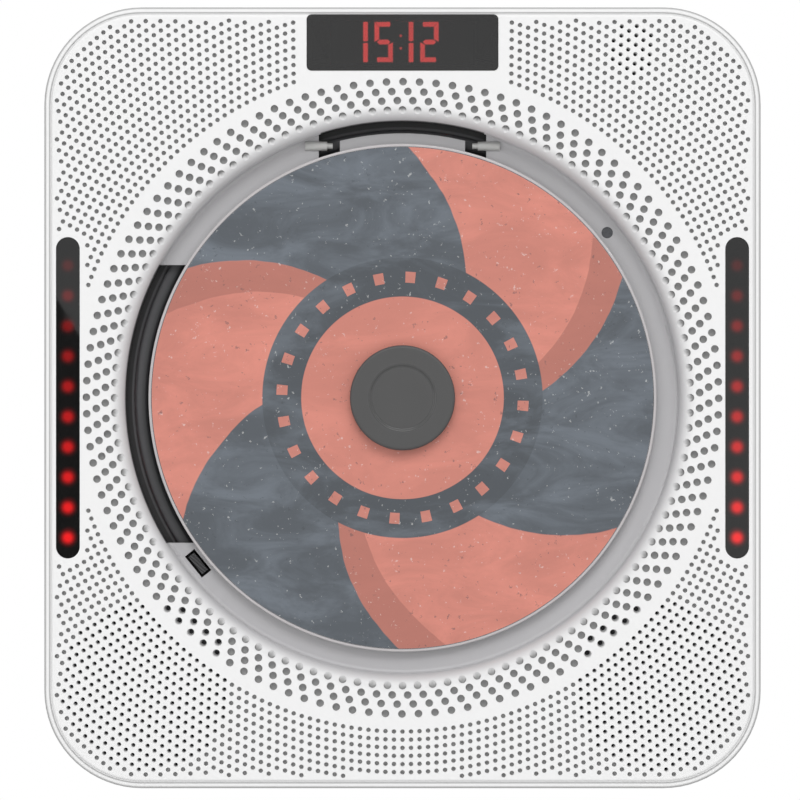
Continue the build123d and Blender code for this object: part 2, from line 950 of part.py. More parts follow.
def speaker_cone(side):
    """Paper cone with its dust cap and the half-round surround at its edge."""
    top = cone_top
    bottom = top - cone_depth
    cone = turned([
        (cone_radius, top), (coil_radius, bottom), (0.0, bottom + cap_rise),
        (0.0, bottom + cap_rise - cone_paper), (coil_radius, bottom - cone_paper),
        (cone_radius, top - cone_paper),
    ])
    edge = cone_radius + surround_width
    bend = surround_width / 3
    crest = top + surround_rise
    surround = turned([
        (cone_radius, top), (cone_radius + bend, crest), (edge - bend, crest), (edge, top),
        (edge, top - cone_paper), (edge - bend, crest - cone_paper), (cone_radius + bend, crest - cone_paper),
        (cone_radius, top - cone_paper),
    ])
    return Pos(side * speaker_x, speaker_y, 0) * group([cone, surround])


def speaker_magnet(side):
    """Ring magnet with its back plate."""
    magnet_back = speaker_seat - speaker_magnet_thickness
    magnet = rod(speaker_magnet_radius, magnet_back, speaker_seat)
    magnet += rod(speaker_magnet_radius - speaker_sheet, magnet_back - speaker_back_plate, magnet_back)
    return Pos(side * speaker_x, speaker_y, 0) * magnet


# ---------------------------------------------------------------- deck and disc drive

def deck_plate():
    """Black floor of the well below the ledge, with its raised ring and openings."""
    deck = rod(deck_radius, deck_underside, deck_level)
    ridge = ring(deck_ring_outer, deck_ring_inner, deck_level, deck_level + deck_ring_height)
    deck += rounded_top(ridge, deck_level + deck_ring_height, deck_ring_rounding)
    deck -= rod(turntable_radius + turntable_opening_gap, deck_underside, deck_level)
    half_slot = holder_width / 2 + holder_gap
    reach = lens_end + holder_length / 2 + holder_gap
    deck -= block(0, reach, -half_slot, half_slot, deck_underside, deck_level + deck_ring_height)
    for place in damper_places:
        deck += rod(damper_radius, damper_top, deck_underside, place)
        deck -= rod(small_screw_radius, damper_top, damper_screw_tip + cut_margin, place)
    for place in deck_boss_places:
        deck -= rod(small_screw_radius + small_screw_fit, deck_underside, deck_level, place)
    hole = on_switch(switch_slot_width, switch_slot_length)
    return deck - slab(hole, deck_underside, deck_level + deck_ring_height)


def on_switch(width, length):
    """Rectangle at the cover switch, its length along the well's edge."""
    place = Pos(*polar(insert_circle_radius, switch_slot_angle)) * Rot(0, 0, switch_slot_angle)
    return place * Rectangle(width, length)


def cover_switch():
    """Switch under the deck that the dust cover's post works."""
    body_bottom = deck_underside - switch_body_depth
    body = slab(on_switch(switch_body_width, switch_body_length), body_bottom, deck_underside)
    room = on_switch(plunger_width + 2 * plunger_fit, plunger_length + 2 * plunger_fit)
    room_bottom = deck_underside - plunger_root - plunger_travel - plunger_fit
    return body - slab(room, room_bottom, deck_underside)


def cover_plunger():
    """Sprung plunger of the cover switch, seen in the slot of the ledge."""
    plan = on_switch(plunger_width, plunger_length)
    return slab(plan, deck_underside - plunger_root, ledge_level - plunger_sink)


def cover_magnet():
    """Small round magnet that holds the dust cover shut."""
    top = ledge_level - insert_sink
    return rod(magnet_radius, top - magnet_thickness, top, polar(insert_circle_radius, magnet_angle))


def traverse_plate():
    """Pressed steel frame with rod clamps and the riveted axle of the drive gear."""
    plan = rounded_plan(traverse_left, traverse_right, rack_line, traverse_upper)
    plan += rounded_plan(traverse_left, sled_motor_x + motor_radius, traverse_lower, -rod_spacing / 2)
    plan -= Circle(motor_boss_radius + boss_opening_gap)
    plan -= Pos(sled_motor_x, sled_motor_y) * Circle(motor_boss_radius + boss_opening_gap)
    plan -= rounded_plan(lens_start, traverse_right - rod_spacing / 2, -lens_radius, traverse_window_top)
    for x, y in damper_places:
        plan -= Pos(x, y) * Circle(small_screw_radius + small_screw_fit)
    plate = slab(plan, traverse_level, traverse_top)
    half_clamp = rod_radius + rod_clamp_wall
    for y in (-rod_spacing / 2, rod_spacing / 2):
        for left in (rod_start, rod_end - rod_clamp_length):
            plate += block(left, left + rod_clamp_length, y - half_clamp, y + half_clamp,
                           traverse_top, rod_level + rod_radius + rod_clamp_cap)
        plate -= cross_bar(rod_radius, y, rod_level, rod_start, rod_end)
    return plate + rod(shaft_radius, traverse_level, gear_top + pinion_face + axle_end, (gear_x, gear_y))


def rounded_plan(left, right, bottom, top):
    """Rectangle with rounded corners, from its four sides."""
    plan = RectangleRounded(right - left, top - bottom, traverse_rounding)
    return Pos((left + right) / 2, (bottom + top) / 2) * plan


def traverse_dampers():
    """Rubber mounts between the traverse and the deck."""
    bore = small_screw_radius + damper_fit
    return group([ring(damper_radius, bore, traverse_top, damper_top, place) for place in damper_places])


def mechanism_screws():
    """Small screws: up through the dampers, and up through the deck into the front cover."""
    screws = []
    for place in damper_places:
        shank = rod(small_screw_radius, traverse_level, damper_screw_tip, place)
        head_bottom = traverse_level - small_screw_head_height
        screws.append(shank + rod(small_screw_head, head_bottom, traverse_level, place))
    for place in deck_boss_places:
        shank = rod(small_screw_radius, deck_underside, deck_screw_tip, place)
        head_bottom = deck_underside - small_screw_head_height
        screws.append(shank + rod(small_screw_head, head_bottom, deck_underside, place))
    return group(screws)


def motor_can(x, y):
    """Round motor under the traverse, with a boss that its shaft runs in."""
    can = rod(motor_radius, motor_bottom, traverse_level, (x, y))
    can = rounded_top(can, motor_bottom, motor_edge)
    can += rod(motor_boss_radius, traverse_level, traverse_level + motor_boss_height, (x, y))
    bore_bottom = motor_bottom + motor_floor
    return can - rod(shaft_radius + running_gap, bore_bottom, traverse_level + motor_boss_height, (x, y))


def spindle_shaft():
    """Steel shaft from the spindle motor to the turntable."""
    return rod(shaft_radius, motor_bottom + motor_floor + shaft_end_gap, disc_front)


def turntable():
    """Turntable with the boss that centres the disc."""
    hub_bottom = turntable_bottom - turntable_hub_length
    return turned([
        (shaft_radius, hub_bottom), (turntable_hub_radius, hub_bottom),
        (turntable_hub_radius, turntable_bottom), (turntable_radius, turntable_bottom),
        (turntable_radius, turntable_top), (boss_radius, turntable_top),
        (boss_radius, disc_front), (boss_radius - boss_height, boss_top), (shaft_radius, boss_top),
    ])


def turntable_pad():
    """Rubber ring that the disc sits on."""
    outer = turntable_radius - pad_edge
    return ring(outer, outer - pad_width, turntable_top, disc_back)


def disc():
    """The disc itself, with its edge just broken."""
    body = ring(disc_radius, disc_hole_radius, disc_back, disc_front)
    return chamfer(body.edges().filter_by(GeomType.CIRCLE), disc_edge)


def disc_clamp():
    """Round clamp with a shallow dish on top and a hollow for the turntable's boss."""
    top = disc_front + clamp_height
    body = rounded_top(rod(clamp_radius, disc_front, top), top, clamp_rounding)
    body -= rod(clamp_dish_radius, top - clamp_dish_depth, top)
    body -= rod(disc_hole_radius + clamp_hollow_fit, disc_front, clamp_hollow)
    return body - clamp_magnet()


def clamp_magnet():
    """Magnet pressed into the underside of the clamp."""
    return rod(clamp_magnet_radius, clamp_hollow, clamp_hollow + clamp_magnet_thickness)


# ---------------------------------------------------------------- pickup sled and gears

def involute(angle):
    """Involute function of an angle in radians."""
    return tan(angle) - angle


def gear_plan(module, teeth):
    """Outline of a gear: each flank is three points of its involute, from root to tip."""
    pitch_radius = module * teeth / 2
    base_radius = pitch_radius * cos(radians(pressure_angle))
    root_radius = pitch_radius - tooth_root * module
    tip_radius = pitch_radius + tooth_tip * module
    half_tooth = pi / (2 * teeth) - backlash / (4 * pitch_radius)
    at_pitch = involute(radians(pressure_angle))

    def half_angle(radius):
        reached = max(radius, base_radius)
        return half_tooth + at_pitch - involute(acos(base_radius / reached))

    corners = []
    for tooth in range(teeth):
        middle = 2 * pi * tooth / teeth
        flank = [(r, half_angle(r)) for r in (root_radius, pitch_radius, tip_radius)]
        points = [(r, -a) for r, a in flank] + [(r, a) for r, a in reversed(flank)]
        corners += [(r * cos(middle + a), r * sin(middle + a)) for r, a in points]
    return make_face(Polyline(*corners, close=True))


def drive_gear():
    """Compound gear: a large wheel that the motor turns and a pinion that drives the rack."""
    wheel = slab(gear_plan(gear_module, gear_teeth), gear_bottom, gear_top)
    turn = 90.0 + 180.0 / pinion_teeth
    pinion = slab(Rot(0, 0, turn) * gear_plan(rack_module, pinion_teeth), gear_top, gear_top + pinion_face)
    bore = rod(shaft_radius + running_gap, gear_bottom, gear_top + pinion_face)
    facing = Rot(0, 0, motor_direction) * wheel
    return Pos(gear_x, gear_y, 0) * (facing + pinion - bore)


def motor_pinion():
    """Brass pinion on the shaft of the sled motor."""
    turn = motor_direction + 180.0 + 180.0 / motor_teeth
    gear_foot = traverse_level + motor_boss_height + boss_opening_gap
    gear = slab(Rot(0, 0, turn) * gear_plan(gear_module, motor_teeth), gear_foot, gear_top)
    shaft = rod(shaft_radius, motor_bottom + motor_floor + shaft_end_gap, gear_top + rack_clearance)
    return Pos(sled_motor_x, sled_motor_y, 0) * (gear + shaft)


def sled_rack():
    """Toothed rack on the side of the sled, one space opposite the drive gear at rest."""
    pitch = pi * rack_module
    slope = tan(radians(pressure_angle))
    root_line = rack_line + rack_root * rack_module
    tip_line = rack_line - rack_tip * rack_module
    root_half = (pitch - backlash) / 4 + rack_root * rack_module * slope
    tip_half = (pitch - backlash) / 4 - rack_tip * rack_module * slope
    behind = int(lens_travel / pitch) + 1
    ahead = 2
    back = rack_line + rack_depth
    start = gear_x - (behind + 1) * pitch
    end = gear_x + (ahead + 1) * pitch
    corners = [(start, back), (start, root_line)]
    for tooth in range(-behind, ahead + 1):
        middle = gear_x + tooth * pitch
        corners += [
            (middle - root_half, root_line), (middle - tip_half, tip_line),
            (middle + tip_half, tip_line), (middle + root_half, root_line),
        ]
    corners += [(end, root_line), (end, back)]
    return slab(make_face(Polyline(*corners, close=True)), rack_bottom, rack_bottom + rack_thickness)


def pickup_body():
    """Die-cast sled that runs on the two rods, with the bracket of the rack."""
    left = lens_start - pickup_behind
    right = lens_start + pickup_ahead
    half = pickup_width / 2
    rail = rod_spacing / 2
    body = block(left, right, -half, half, pickup_bottom, pickup_top)
    bearing_bottom = rod_level - bearing_half_height
    bearing_top = rod_level + bearing_half_height
    bearing_edge = rail + rod_radius + bearing_wall
    fork_edge = -rail - rod_radius - fork_wall
    body += block(left, right, half - root_overlap, bearing_edge, bearing_bottom, bearing_top)
    left += pickup_step
    right -= pickup_step
    body += block(left, right, fork_edge, -half + root_overlap, bearing_bottom, bearing_top)
    body += block(left, right, rack_line + rack_depth, fork_edge + root_overlap,
                  rack_bottom, rack_bottom + rack_thickness)
    for y in (-rail, rail):
        body -= cross_bar(rod_radius + running_gap, y, rod_level, left - pickup_step, right + pickup_step)
    return body


def guide_rods():
    """Two ground steel rods that the sled runs on."""
    places = (-rod_spacing / 2, rod_spacing / 2)
    return group([cross_bar(rod_radius, y, rod_level, rod_start, rod_end) for y in places])


def lens_holder():
    """Sprung lens holder with the objective lens."""
    left = lens_start - holder_length / 2
    half = holder_width / 2
    holder = block(left, left + holder_length, -half, half, holder_bottom, holder_top)
    return holder + rod(lens_radius, holder_top, lens_top, (lens_start, 0))


# ---------------------------------------------------------------- boards and sockets

def main_board():
    """Main circuit board on its posts."""
    board = block(-board_width / 2, board_width / 2, board_bottom, board_top, board_level, board_face)
    for place in board_posts:
        board -= rod(small_screw_radius + small_screw_fit, board_level, board_face, place)
    return board


def board_parts():
    """Chips, capacitors and connectors on the main board."""
    solids = []
    for x, rise, width, height, thickness in chips:
        y = board_bottom + rise
        solids.append(block(
            x - width / 2, x + width / 2, y - height / 2, y + height / 2,
            board_face, board_face + thickness,
        ))
    for x, rise in capacitors:
        place = (x, board_bottom + rise)
        solids.append(rod(capacitor_radius, board_face, board_face + capacitor_height, place))
    return group(solids)


def board_screws():
    """Screws of the main board."""
    screws = []
    for place in board_posts:
        shank = rod(small_screw_radius, board_screw_tip, board_face, place)
        head_top = board_face + board_screw_head_height
        screws.append(shank + rod(small_screw_head, board_face, head_top, place))
    return group(screws)


def socket_block(x, width, length, height):
    """Body of a socket that stands on the main board against the bottom wall."""
    half = width / 2
    return block(x - half, x + half, socket_front, socket_front + length, board_face, board_face + height)


def power_socket():
    """Power inlet: square body with a round bore and its centre pin."""
    bore_end = socket_front + power_bore_length
    body = socket_block(power_x, power_width, power_length, power_height)
    body -= upright_bar(power_bore_radius, power_x, power_level, socket_front, bore_end)
    return body + upright_bar(power_pin_radius, power_x, power_level, socket_front + power_pin_sink, bore_end)


def audio_socket():
    """Round audio jack whose nose stands in the wall."""
    nose = socket_front - socket_nose
    body = socket_block(audio_x, audio_width, audio_length, audio_height)
    body += upright_bar(audio_nose_radius, audio_x, audio_level, nose, socket_front)
    return body - upright_bar(audio_bore_radius, audio_x, audio_level, nose, nose + audio_bore_length)


def usb_socket():
    """Sheet metal shell of the data socket with its contact tongue."""
    left = usb_x - usb_width / 2
    right = usb_x + usb_width / 2
    mouth = socket_front - usb_nose
    back = socket_front + usb_length
    top = board_face + usb_height
    shell = block(left, right, mouth, back, board_face, top)
    shell -= block(
        left + usb_sheet, right - usb_sheet, mouth, back - usb_sheet,
        board_face + usb_sheet, top - usb_sheet,
    )
    tongue_bottom = board_face + tongue_level
    return shell + block(
        usb_x - tongue_width / 2, usb_x + tongue_width / 2, socket_front + tongue_sink, back,
        tongue_bottom, tongue_bottom + tongue_thickness,
    )


def switch_body():
    """Body of the power switch, open where its knob slides."""
    body = socket_block(switch_x, switch_width, switch_length, switch_height)
    reach = (knob_width + knob_travel) / 2 + socket_gap
    half_height_of_slot = knob_height / 2 + knob_fit
    return body - block(
        switch_x - reach, switch_x + reach, socket_front, socket_front + knob_root + knob_fit,
        knob_level - half_height_of_slot, knob_level + half_height_of_slot,
    )


def switch_knob():
    """Knob of the power switch at the off end of its travel."""
    x = switch_x - knob_travel / 2
    return block(
        x - knob_width / 2, x + knob_width / 2, -half_height + knob_sink, socket_front + knob_root,
        knob_level - knob_height / 2, knob_level + knob_height / 2,
    )


def button_board():
    """Circuit board of the button switches, square to the top wall."""
    half = button_board_width / 2
    low = button_level - button_board_depth / 2
    return block(-half, half, button_board_y - board_thickness / 2, button_board_y + board_thickness / 2,
                 low, low + button_board_depth)


def button_switches():
    """Push switches under the buttons."""
    face = button_board_y + board_thickness / 2
    top = face + press_switch_height
    tip = cap_underside - button_travel - press_switch_gap
    half = press_switch_size / 2
    switches = []
    for x in button_places():
        body = block(x - half, x + half, face, top, button_level - half, button_level + half)
        switches.append(body + upright_bar(press_switch_stem, x, button_level, top, tip))
    return group(switches)


def button(x):
    """Button cap flush with the top wall, kept in by its flange."""
    half_length = button_length / 2
    half_depth = button_depth / 2
    cap = block(x - half_length, x + half_length, cap_underside, half_height,
                button_level - half_depth, button_level + half_depth)
    top_edges = cap.edges().filter_by_position(Axis.Y, half_height - 0.01, half_height + 0.01)
    cap = fillet(top_edges, button_rounding)
    half_length += button_flange
    half_depth += button_flange
    return cap + block(
        x - half_length, x + half_length, cap_underside, cap_underside + button_flange_thickness,
        button_level - half_depth, button_level + half_depth,
    )


# ---------------------------------------------------------------- all pieces

pieces = {
    "wall_plate": wall_plate, "hanger_studs": hanger_studs, "rear_cover": rear_cover,
    "wall_pads": wall_pads, "front_cover": front_cover, "case_screws": case_screws,
    "display_window": display_window, "display_module": display_module,
    "display_segments": display_segments, "display_board": display_board, "ir_receiver": ir_receiver,
    "deck_plate": deck_plate, "hinge_pins": hinge_pins, "cover_magnet": cover_magnet,
    "cover_switch": cover_switch, "cover_plunger": cover_plunger, "traverse_plate": traverse_plate,
    "traverse_dampers": traverse_dampers, "mechanism_screws": mechanism_screws,
    "guide_rods": guide_rods, "spindle_shaft": spindle_shaft, "turntable": turntable,
    "turntable_pad": turntable_pad, "disc": disc, "disc_clamp": disc_clamp, "clamp_magnet": clamp_magnet,
    "pickup_body": pickup_body, "sled_rack": sled_rack, "lens_holder": lens_holder,
    "drive_gear": drive_gear, "motor_pinion": motor_pinion, "main_board": main_board,
    "board_parts": board_parts, "board_screws": board_screws, "power_socket": power_socket,
    "audio_socket": audio_socket, "usb_socket": usb_socket, "switch_body": switch_body,
    "switch_knob": switch_knob, "button_board": button_board, "button_switches": button_switches,
}
sided_pieces = {
    "level_window": level_window, "level_lights": level_lights, "level_board": level_board,
    "speaker_frame": speaker_frame, "speaker_cone": speaker_cone, "speaker_magnet": speaker_magnet,
}
button_names = ["previous", "play", "next", "volume_down", "volume_up"]

nodes = {name: make() for name, make in pieces.items()}
nodes["spindle_motor"] = motor_can(0, 0)
nodes["sled_motor"] = motor_can(sled_motor_x, sled_motor_y)
for side_name, side in sides.items():
    for name, make in sided_pieces.items():
        nodes[f"{name}_{side_name}"] = make(side)
for name, x in zip(button_names, button_places()):
    nodes[f"{name}_button"] = button(x)

for name, shape in nodes.items():
    export_step(stand_up(shape), f"parts/{name}.step")
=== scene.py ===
"""Looks of a wall mounted cd player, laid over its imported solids."""
from functools import cached_property

import bmesh
import bpy
import numpy as np
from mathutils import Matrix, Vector
from mathutils.geometry import delaunay_2d_cdt


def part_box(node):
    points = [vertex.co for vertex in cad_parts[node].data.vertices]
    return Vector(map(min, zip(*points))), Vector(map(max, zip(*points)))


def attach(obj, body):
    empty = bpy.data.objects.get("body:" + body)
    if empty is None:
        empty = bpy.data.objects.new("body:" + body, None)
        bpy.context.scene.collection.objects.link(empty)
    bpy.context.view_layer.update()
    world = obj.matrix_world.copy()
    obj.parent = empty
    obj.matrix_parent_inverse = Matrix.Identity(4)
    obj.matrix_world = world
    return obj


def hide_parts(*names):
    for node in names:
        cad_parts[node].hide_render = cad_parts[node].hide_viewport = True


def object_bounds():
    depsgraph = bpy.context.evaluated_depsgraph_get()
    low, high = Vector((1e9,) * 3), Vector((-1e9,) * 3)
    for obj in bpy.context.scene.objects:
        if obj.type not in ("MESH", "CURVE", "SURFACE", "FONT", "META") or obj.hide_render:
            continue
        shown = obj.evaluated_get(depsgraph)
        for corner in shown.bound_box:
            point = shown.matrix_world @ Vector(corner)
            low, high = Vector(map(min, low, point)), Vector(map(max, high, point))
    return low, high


bl_info = {
    "name": "Wall mounted cd player",
    "version": (1, 0, 0),
    "blender": (4, 5, 0),
    "location": "3D View > Sidebar > Player",
    "description": "Makes the looks of a perforated wall mounted cd player over its packed solids",
    "category": "Object",
}

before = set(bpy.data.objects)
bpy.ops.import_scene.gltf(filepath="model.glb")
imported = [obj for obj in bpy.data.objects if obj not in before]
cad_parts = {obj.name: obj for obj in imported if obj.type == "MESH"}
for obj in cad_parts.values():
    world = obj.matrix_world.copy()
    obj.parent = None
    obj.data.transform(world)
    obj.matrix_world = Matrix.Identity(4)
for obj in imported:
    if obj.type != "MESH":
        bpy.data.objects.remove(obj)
cad_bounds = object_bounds()
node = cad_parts
MM = 0.001  # a millimetre in metres
MERGE_DISTANCE = 1e-6  # points closer than this, in metres, become one
SHARP_ANGLE = float(np.radians(35.0))  # edges that turn more than this stay sharp


# --- sizes and colours

def length(name, description, millimetres):
    """A length property in metres, from its default in millimetres."""
    return bpy.props.FloatProperty(
        name=name, description=description, default=millimetres * MM, min=0.0,
        unit="LENGTH", subtype="DISTANCE", precision=5,
    )


def number(name, description, default):
    """A whole number property."""
    return bpy.props.IntProperty(name=name, description=description, default=default, min=1)


def screen(red, green, blue):
    """A linear colour from how it reads on a screen, 0 to 255."""
    value = np.array([red, green, blue]) / 255
    return [float(v) for v in np.where(value <= 0.04045, value / 12.92, ((value + 0.055) / 1.055) ** 2.4)]


def grey(level):
    """A neutral linear colour from how it reads on a screen, 0 to 255."""
    return screen(level, level, level)


def shade(tint, factor):
    """A colour made lighter or darker."""
    return [min(1.0, float(v) * factor) for v in tint]


def colour(name, description, red, green, blue):
    """A colour property, from the default as it reads on a screen, 0 to 255."""
    return bpy.props.FloatVectorProperty(
        name=name, description=description, default=screen(red, green, blue),
        size=3, min=0.0, max=1.0, subtype="COLOR",
    )


class PerforationSizes(bpy.types.PropertyGroup):
    """Holes of the front face."""
    pitch: length("Ring pitch", "Distance between the rings of small holes", 1.917)
    first_ring: number("First ring", "Number of the first ring of small holes", 41)
    last_ring: number("Last ring", "Number of the last ring of small holes", 62)
    small_radius: length("Small hole radius", "Radius of a small hole", 0.55)
    large_radius: length("Large hole radius", "Radius of a large hole", 0.91)
    small_depth: length("Small hole depth", "Depth of a small hole", 1.0)
    large_depth: length("Large hole depth", "Depth of a large hole", 1.4)
    lip_depth: length("Lip hole depth", "Depth of the large holes at the lip, at their outer side", 1.2)
    large_count: number("Large holes", "Large holes in one ring", 120)
    edge_gap: length("Edge gap", "Least distance from a hole's centre to the edge of the flat face", 0.62)
    window_gap: length("Window gap", "Least distance from a hole's centre to a level window", 1.8)
    display_gap: length("Display gap", "Half width of the plain strip at the display", 25.6)
    speaker_x: length("Speaker across", "Middle of a speaker, from the middle of the player", 60.4)
    speaker_z: length("Speaker down", "Middle of a speaker, below the disc's axis", 67.9)
    speaker_radius: length("Open circle of a speaker", "Radius of the open holes over a speaker", 20.0)
    receiver_x: length("Receiver across", "Middle of the receiver's open holes", 54.0)
    receiver_z: length("Receiver up", "Middle of the receiver's open holes", 82.0)
    receiver_radius: length("Open circle of the receiver", "Radius of the open holes over the receiver", 6.0)


class DiscSizes(bpy.types.PropertyGroup):
    """Disc and the clamp on it."""
    print_inner: length("Print inner radius", "Inner radius of the printed face", 11.5)
    print_outer: length("Print outer radius", "Outer radius of the printed face", 59.2)
    ridge_radius: length("Stacking ridge", "Radius of the moulded ridge round the hub", 17.3)
    ridge_height: length("Ridge height", "Height of the moulded ridge", 0.12)
    clamp_radius: length("Clamp radius", "Radius of the clamp puck", 12.4)
    clamp_rounding: length("Clamp rounding", "Rounding of the clamp's upper edge", 0.7)
    dish_radius: length("Dish radius", "Radius of the dish in the clamp", 7.9)
    dish_depth: length("Dish depth", "Depth of the dish in the clamp", 0.4)


class DisplaySizes(bpy.types.PropertyGroup):
    """Clock digits and level lights."""
    digit_height: length("Digit height", "Height of a digit over its strokes", 9.6)
    digit_width: length("Digit width", "Width of a full digit over its strokes", 4.5)
    stroke: length("Stroke", "Width of a lit stroke", 1.27)
    stroke_rise: length("Stroke rise", "Height of a stroke's crown", 0.22)
    colon_radius: length("Colon radius", "Radius of a colon dot", 0.36)
    colon_spacing: length("Colon spacing", "Distance between the colon dots", 2.95)
    light_pitch: length("Light pitch", "Distance between the level lights", 7.12)
    light_radius: length("Light radius", "Radius of a level light", 2.05)
    # reach of the glow painted as emission in the smoked window
    painted_glow_reach: length("Glow radius", "Reach of a level light's glow in the smoked window", 2.7)


class PlayerColours(bpy.types.PropertyGroup):
    """Colours of the player's finishes."""
    shell: colour("Shell", "White of the front cover", 243, 243, 243)
    rim: colour("Rim", "White of the rear cover", 243, 243, 243)
    # painted shade: the grey of the well and of the lip's rounding
    well_shade_grey: colour("Well", "Grey of the well below the lip", 192, 191, 193)
    # painted shade: the grey of the closed holes' floors and of the recesses in the face
    liner: colour("Liner", "Grey at the bottom of the closed holes", 188, 188, 188)
    well: colour("Deck", "Black of the deck", 70, 70, 72)
    lit: colour("Lit red", "Lit strokes of the clock", 218, 60, 58)
    clamp: colour("Clamp", "Grey of the disc clamp", 73, 73, 73)
    coral: colour("Coral", "Coral of the disc's print", 212, 134, 119)
    slate: colour("Slate", "Slate of the disc's print", 98, 105, 113)
    paper: colour("Disc white", "White of the disc's print", 240, 240, 238)


# --- materials

def operation(name, swapped=False):
    """A method of Field that adds one Math node, with its two values swapped if asked."""
    if swapped:
        return lambda self, other: self.maths(name, other, self)
    return lambda self, *others: self.maths(name, self, *others)


class Field:
    """One value inside a material, whose arithmetic adds Math nodes."""

    def __init__(self, nodes, socket):
        self.nodes = nodes
        self.socket = socket

    def maths(self, name, *values):
        """Adds a Math node."""
        return self.nodes.add("ShaderNodeMath", {"operation": name}, values)

    __add__ = __radd__ = operation("ADD")
    __sub__, __rsub__ = operation("SUBTRACT"), operation("SUBTRACT", swapped=True)
    __mul__ = __rmul__ = operation("MULTIPLY")
    __truediv__, __rtruediv__ = operation("DIVIDE"), operation("DIVIDE", swapped=True)
    __pow__, __rpow__ = operation("POWER"), operation("POWER", swapped=True)
    __gt__, __lt__ = operation("GREATER_THAN"), operation("LESS_THAN")
    __abs__, root, whole, sine = [operation(name) for name in ("ABSOLUTE", "SQRT", "FLOOR", "SINE")]
    above, below, turn_to = operation("MAXIMUM"), operation("MINIMUM"), operation("ARCTAN2")

    def __neg__(self):
        return self * -1.0

    def step(self, low, high):
        """0 below low, 1 above high and smooth between them."""
        settings = {"interpolation_type": "SMOOTHSTEP", "clamp": True}
        values = {"Value": self, "From Min": low, "From Max": high}
        return self.nodes.add("ShaderNodeMapRange", settings, values)


def reach(across, up):
    """Distance from the origin, from its two sides."""
    return (across ** 2.0 + up ** 2.0).root()


class Nodes:
    """A node tree under construction."""

    def __init__(self, tree):
        self.tree = tree
        tree.nodes.clear()

    def put(self, socket, value):
        """Links a field to a socket, or stores a number or colour in it."""
        if isinstance(value, Field):
            self.tree.links.new(value.socket, socket)
        elif socket.type == "RGBA" and len(value) == 3:
            socket.default_value = (*value, 1.0)
        else:
            socket.default_value = value

    def add(self, kind, settings=None, values=(), output=0):
        """Adds a node: its settings first, then the values or links of its sockets."""
        new = self.tree.nodes.new(kind)
        for key, value in (settings or {}).items():
            setattr(new, key, value)
        items = values.items() if isinstance(values, dict) else enumerate(values)
        for key, value in items:
            self.put(new.inputs[key], value)
        return Field(self, new.outputs[output]) if new.outputs else new

    def split(self, vector):
        """The three numbers of a vector."""
        first = self.add("ShaderNodeSeparateXYZ", {}, (vector,))
        return [Field(self, socket) for socket in first.socket.node.outputs]

    def mix(self, amount, first, second):
        """A colour between two colours."""
        return self.add("ShaderNodeMix", {"data_type": "RGBA"}, {0: amount, 6: first, 7: second}, 2)


class Finish(Nodes):
    """A material under construction: one shader and the nodes that feed it. The object's
    coordinates, in metres, are made when they are first asked for."""

    at = cached_property(lambda self: self.place())
    sides = cached_property(lambda self: self.split(self.at))
    x = cached_property(lambda self: self.sides[0])
    y = cached_property(lambda self: self.sides[1])
    z = cached_property(lambda self: self.sides[2])
    radius = cached_property(lambda self: reach(self.x, self.z))  # from the disc's axis

    def __init__(self, name):
        self.material = bpy.data.materials.new(name)
        self.material.use_nodes = True
        super().__init__(self.material.node_tree)
        surface = self.add("ShaderNodeBsdfPrincipled")
        self.shader = surface.socket.node
        self.add("ShaderNodeOutputMaterial", {}, {"Surface": surface})

    def set(self, **values):
        """Sets the shader's sockets, named with underscores for spaces."""
        for key, value in values.items():
            self.put(self.shader.inputs[key.replace("_", " ")], value)

    def surface(self, tint, roughness, height, strength, distance, **others):
        """Sets the colour, the roughness, a bump and any other sockets."""
        tilt = self.bump(height, strength, distance)
        self.set(Base_Color=tint, Roughness=roughness, Normal=tilt, **others)

    def tone(self):
        """The colour that reaches the shader so far."""
        return Field(self, self.shader.inputs["Base Color"].links[0].from_socket)

    def place(self, centre=(0, 0, 0), turn=(0, 0, 0), scale=(1, 1, 1)):
        """Object coordinates about a centre in metres, turned and scaled."""
        coordinates = self.add("ShaderNodeTexCoord", output="Object")
        moved = self.add("ShaderNodeVectorMath", {"operation": "SUBTRACT"}, (coordinates, centre))
        return self.add("ShaderNodeMapping", {}, {"Vector": moved, "Rotation": turn, "Scale": scale})

    def noise(self, scale, detail=3.0, roughness=0.5, distortion=0.0, at=None):
        """Soft noise between 0 and 1."""
        return self.add("ShaderNodeTexNoise", {}, {
            "Vector": at or self.at, "Scale": scale, "Detail": detail, "Roughness": roughness,
            "Distortion": distortion})

    def cells(self, scale, output="Distance"):
        """Distance to the nearest of scattered points, or their colour."""
        return self.add("ShaderNodeTexVoronoi", {}, {"Vector": self.at, "Scale": scale}, output)

    def shades(self, amount, tint, dark, light):
        """A colour between a darker and a lighter one of the same tint."""
        return self.mix(amount, shade(tint, dark), shade(tint, light))

    def bump(self, height, strength, distance):
        """A normal tilted by a height in metres times distance."""
        values = {"Height": height, "Strength": strength, "Distance": distance}
        return self.add("ShaderNodeBump", {}, values)


# --- surfaces

def grid_faces(rows, columns, loop_rows=False):
    """Triangles over a grid of points that closes round its columns, and round its rows if asked.
    They face along (next row) x (next column)."""
    row = np.arange(rows if loop_rows else rows - 1)[:, None]
    column = np.arange(columns)[None, :]
    below = (row + 1) % rows
    beside = (column + 1) % columns
    a, b = row * columns + column, row * columns + beside
    c, d = below * columns + beside, below * columns + column
    return np.stack([a, d, c, a, c, b], -1).reshape(-1, 3)


def on_circle(radius, angles):
    """Flat points on a circle, at angles from the top, clockwise: radius (sin t, cos t)."""
    return radius * np.stack([np.sin(angles), np.cos(angles)], -1)


def round_turn(count):
    """Evenly spaced angles over a full turn."""
    return np.arange(count) * 2 * np.pi / count


def raised(flat, height):
    """Solid points from flat ones and their y."""
    return np.stack([flat[..., 0], np.broadcast_to(height, flat.shape[:-1]), flat[..., 1]], -1)


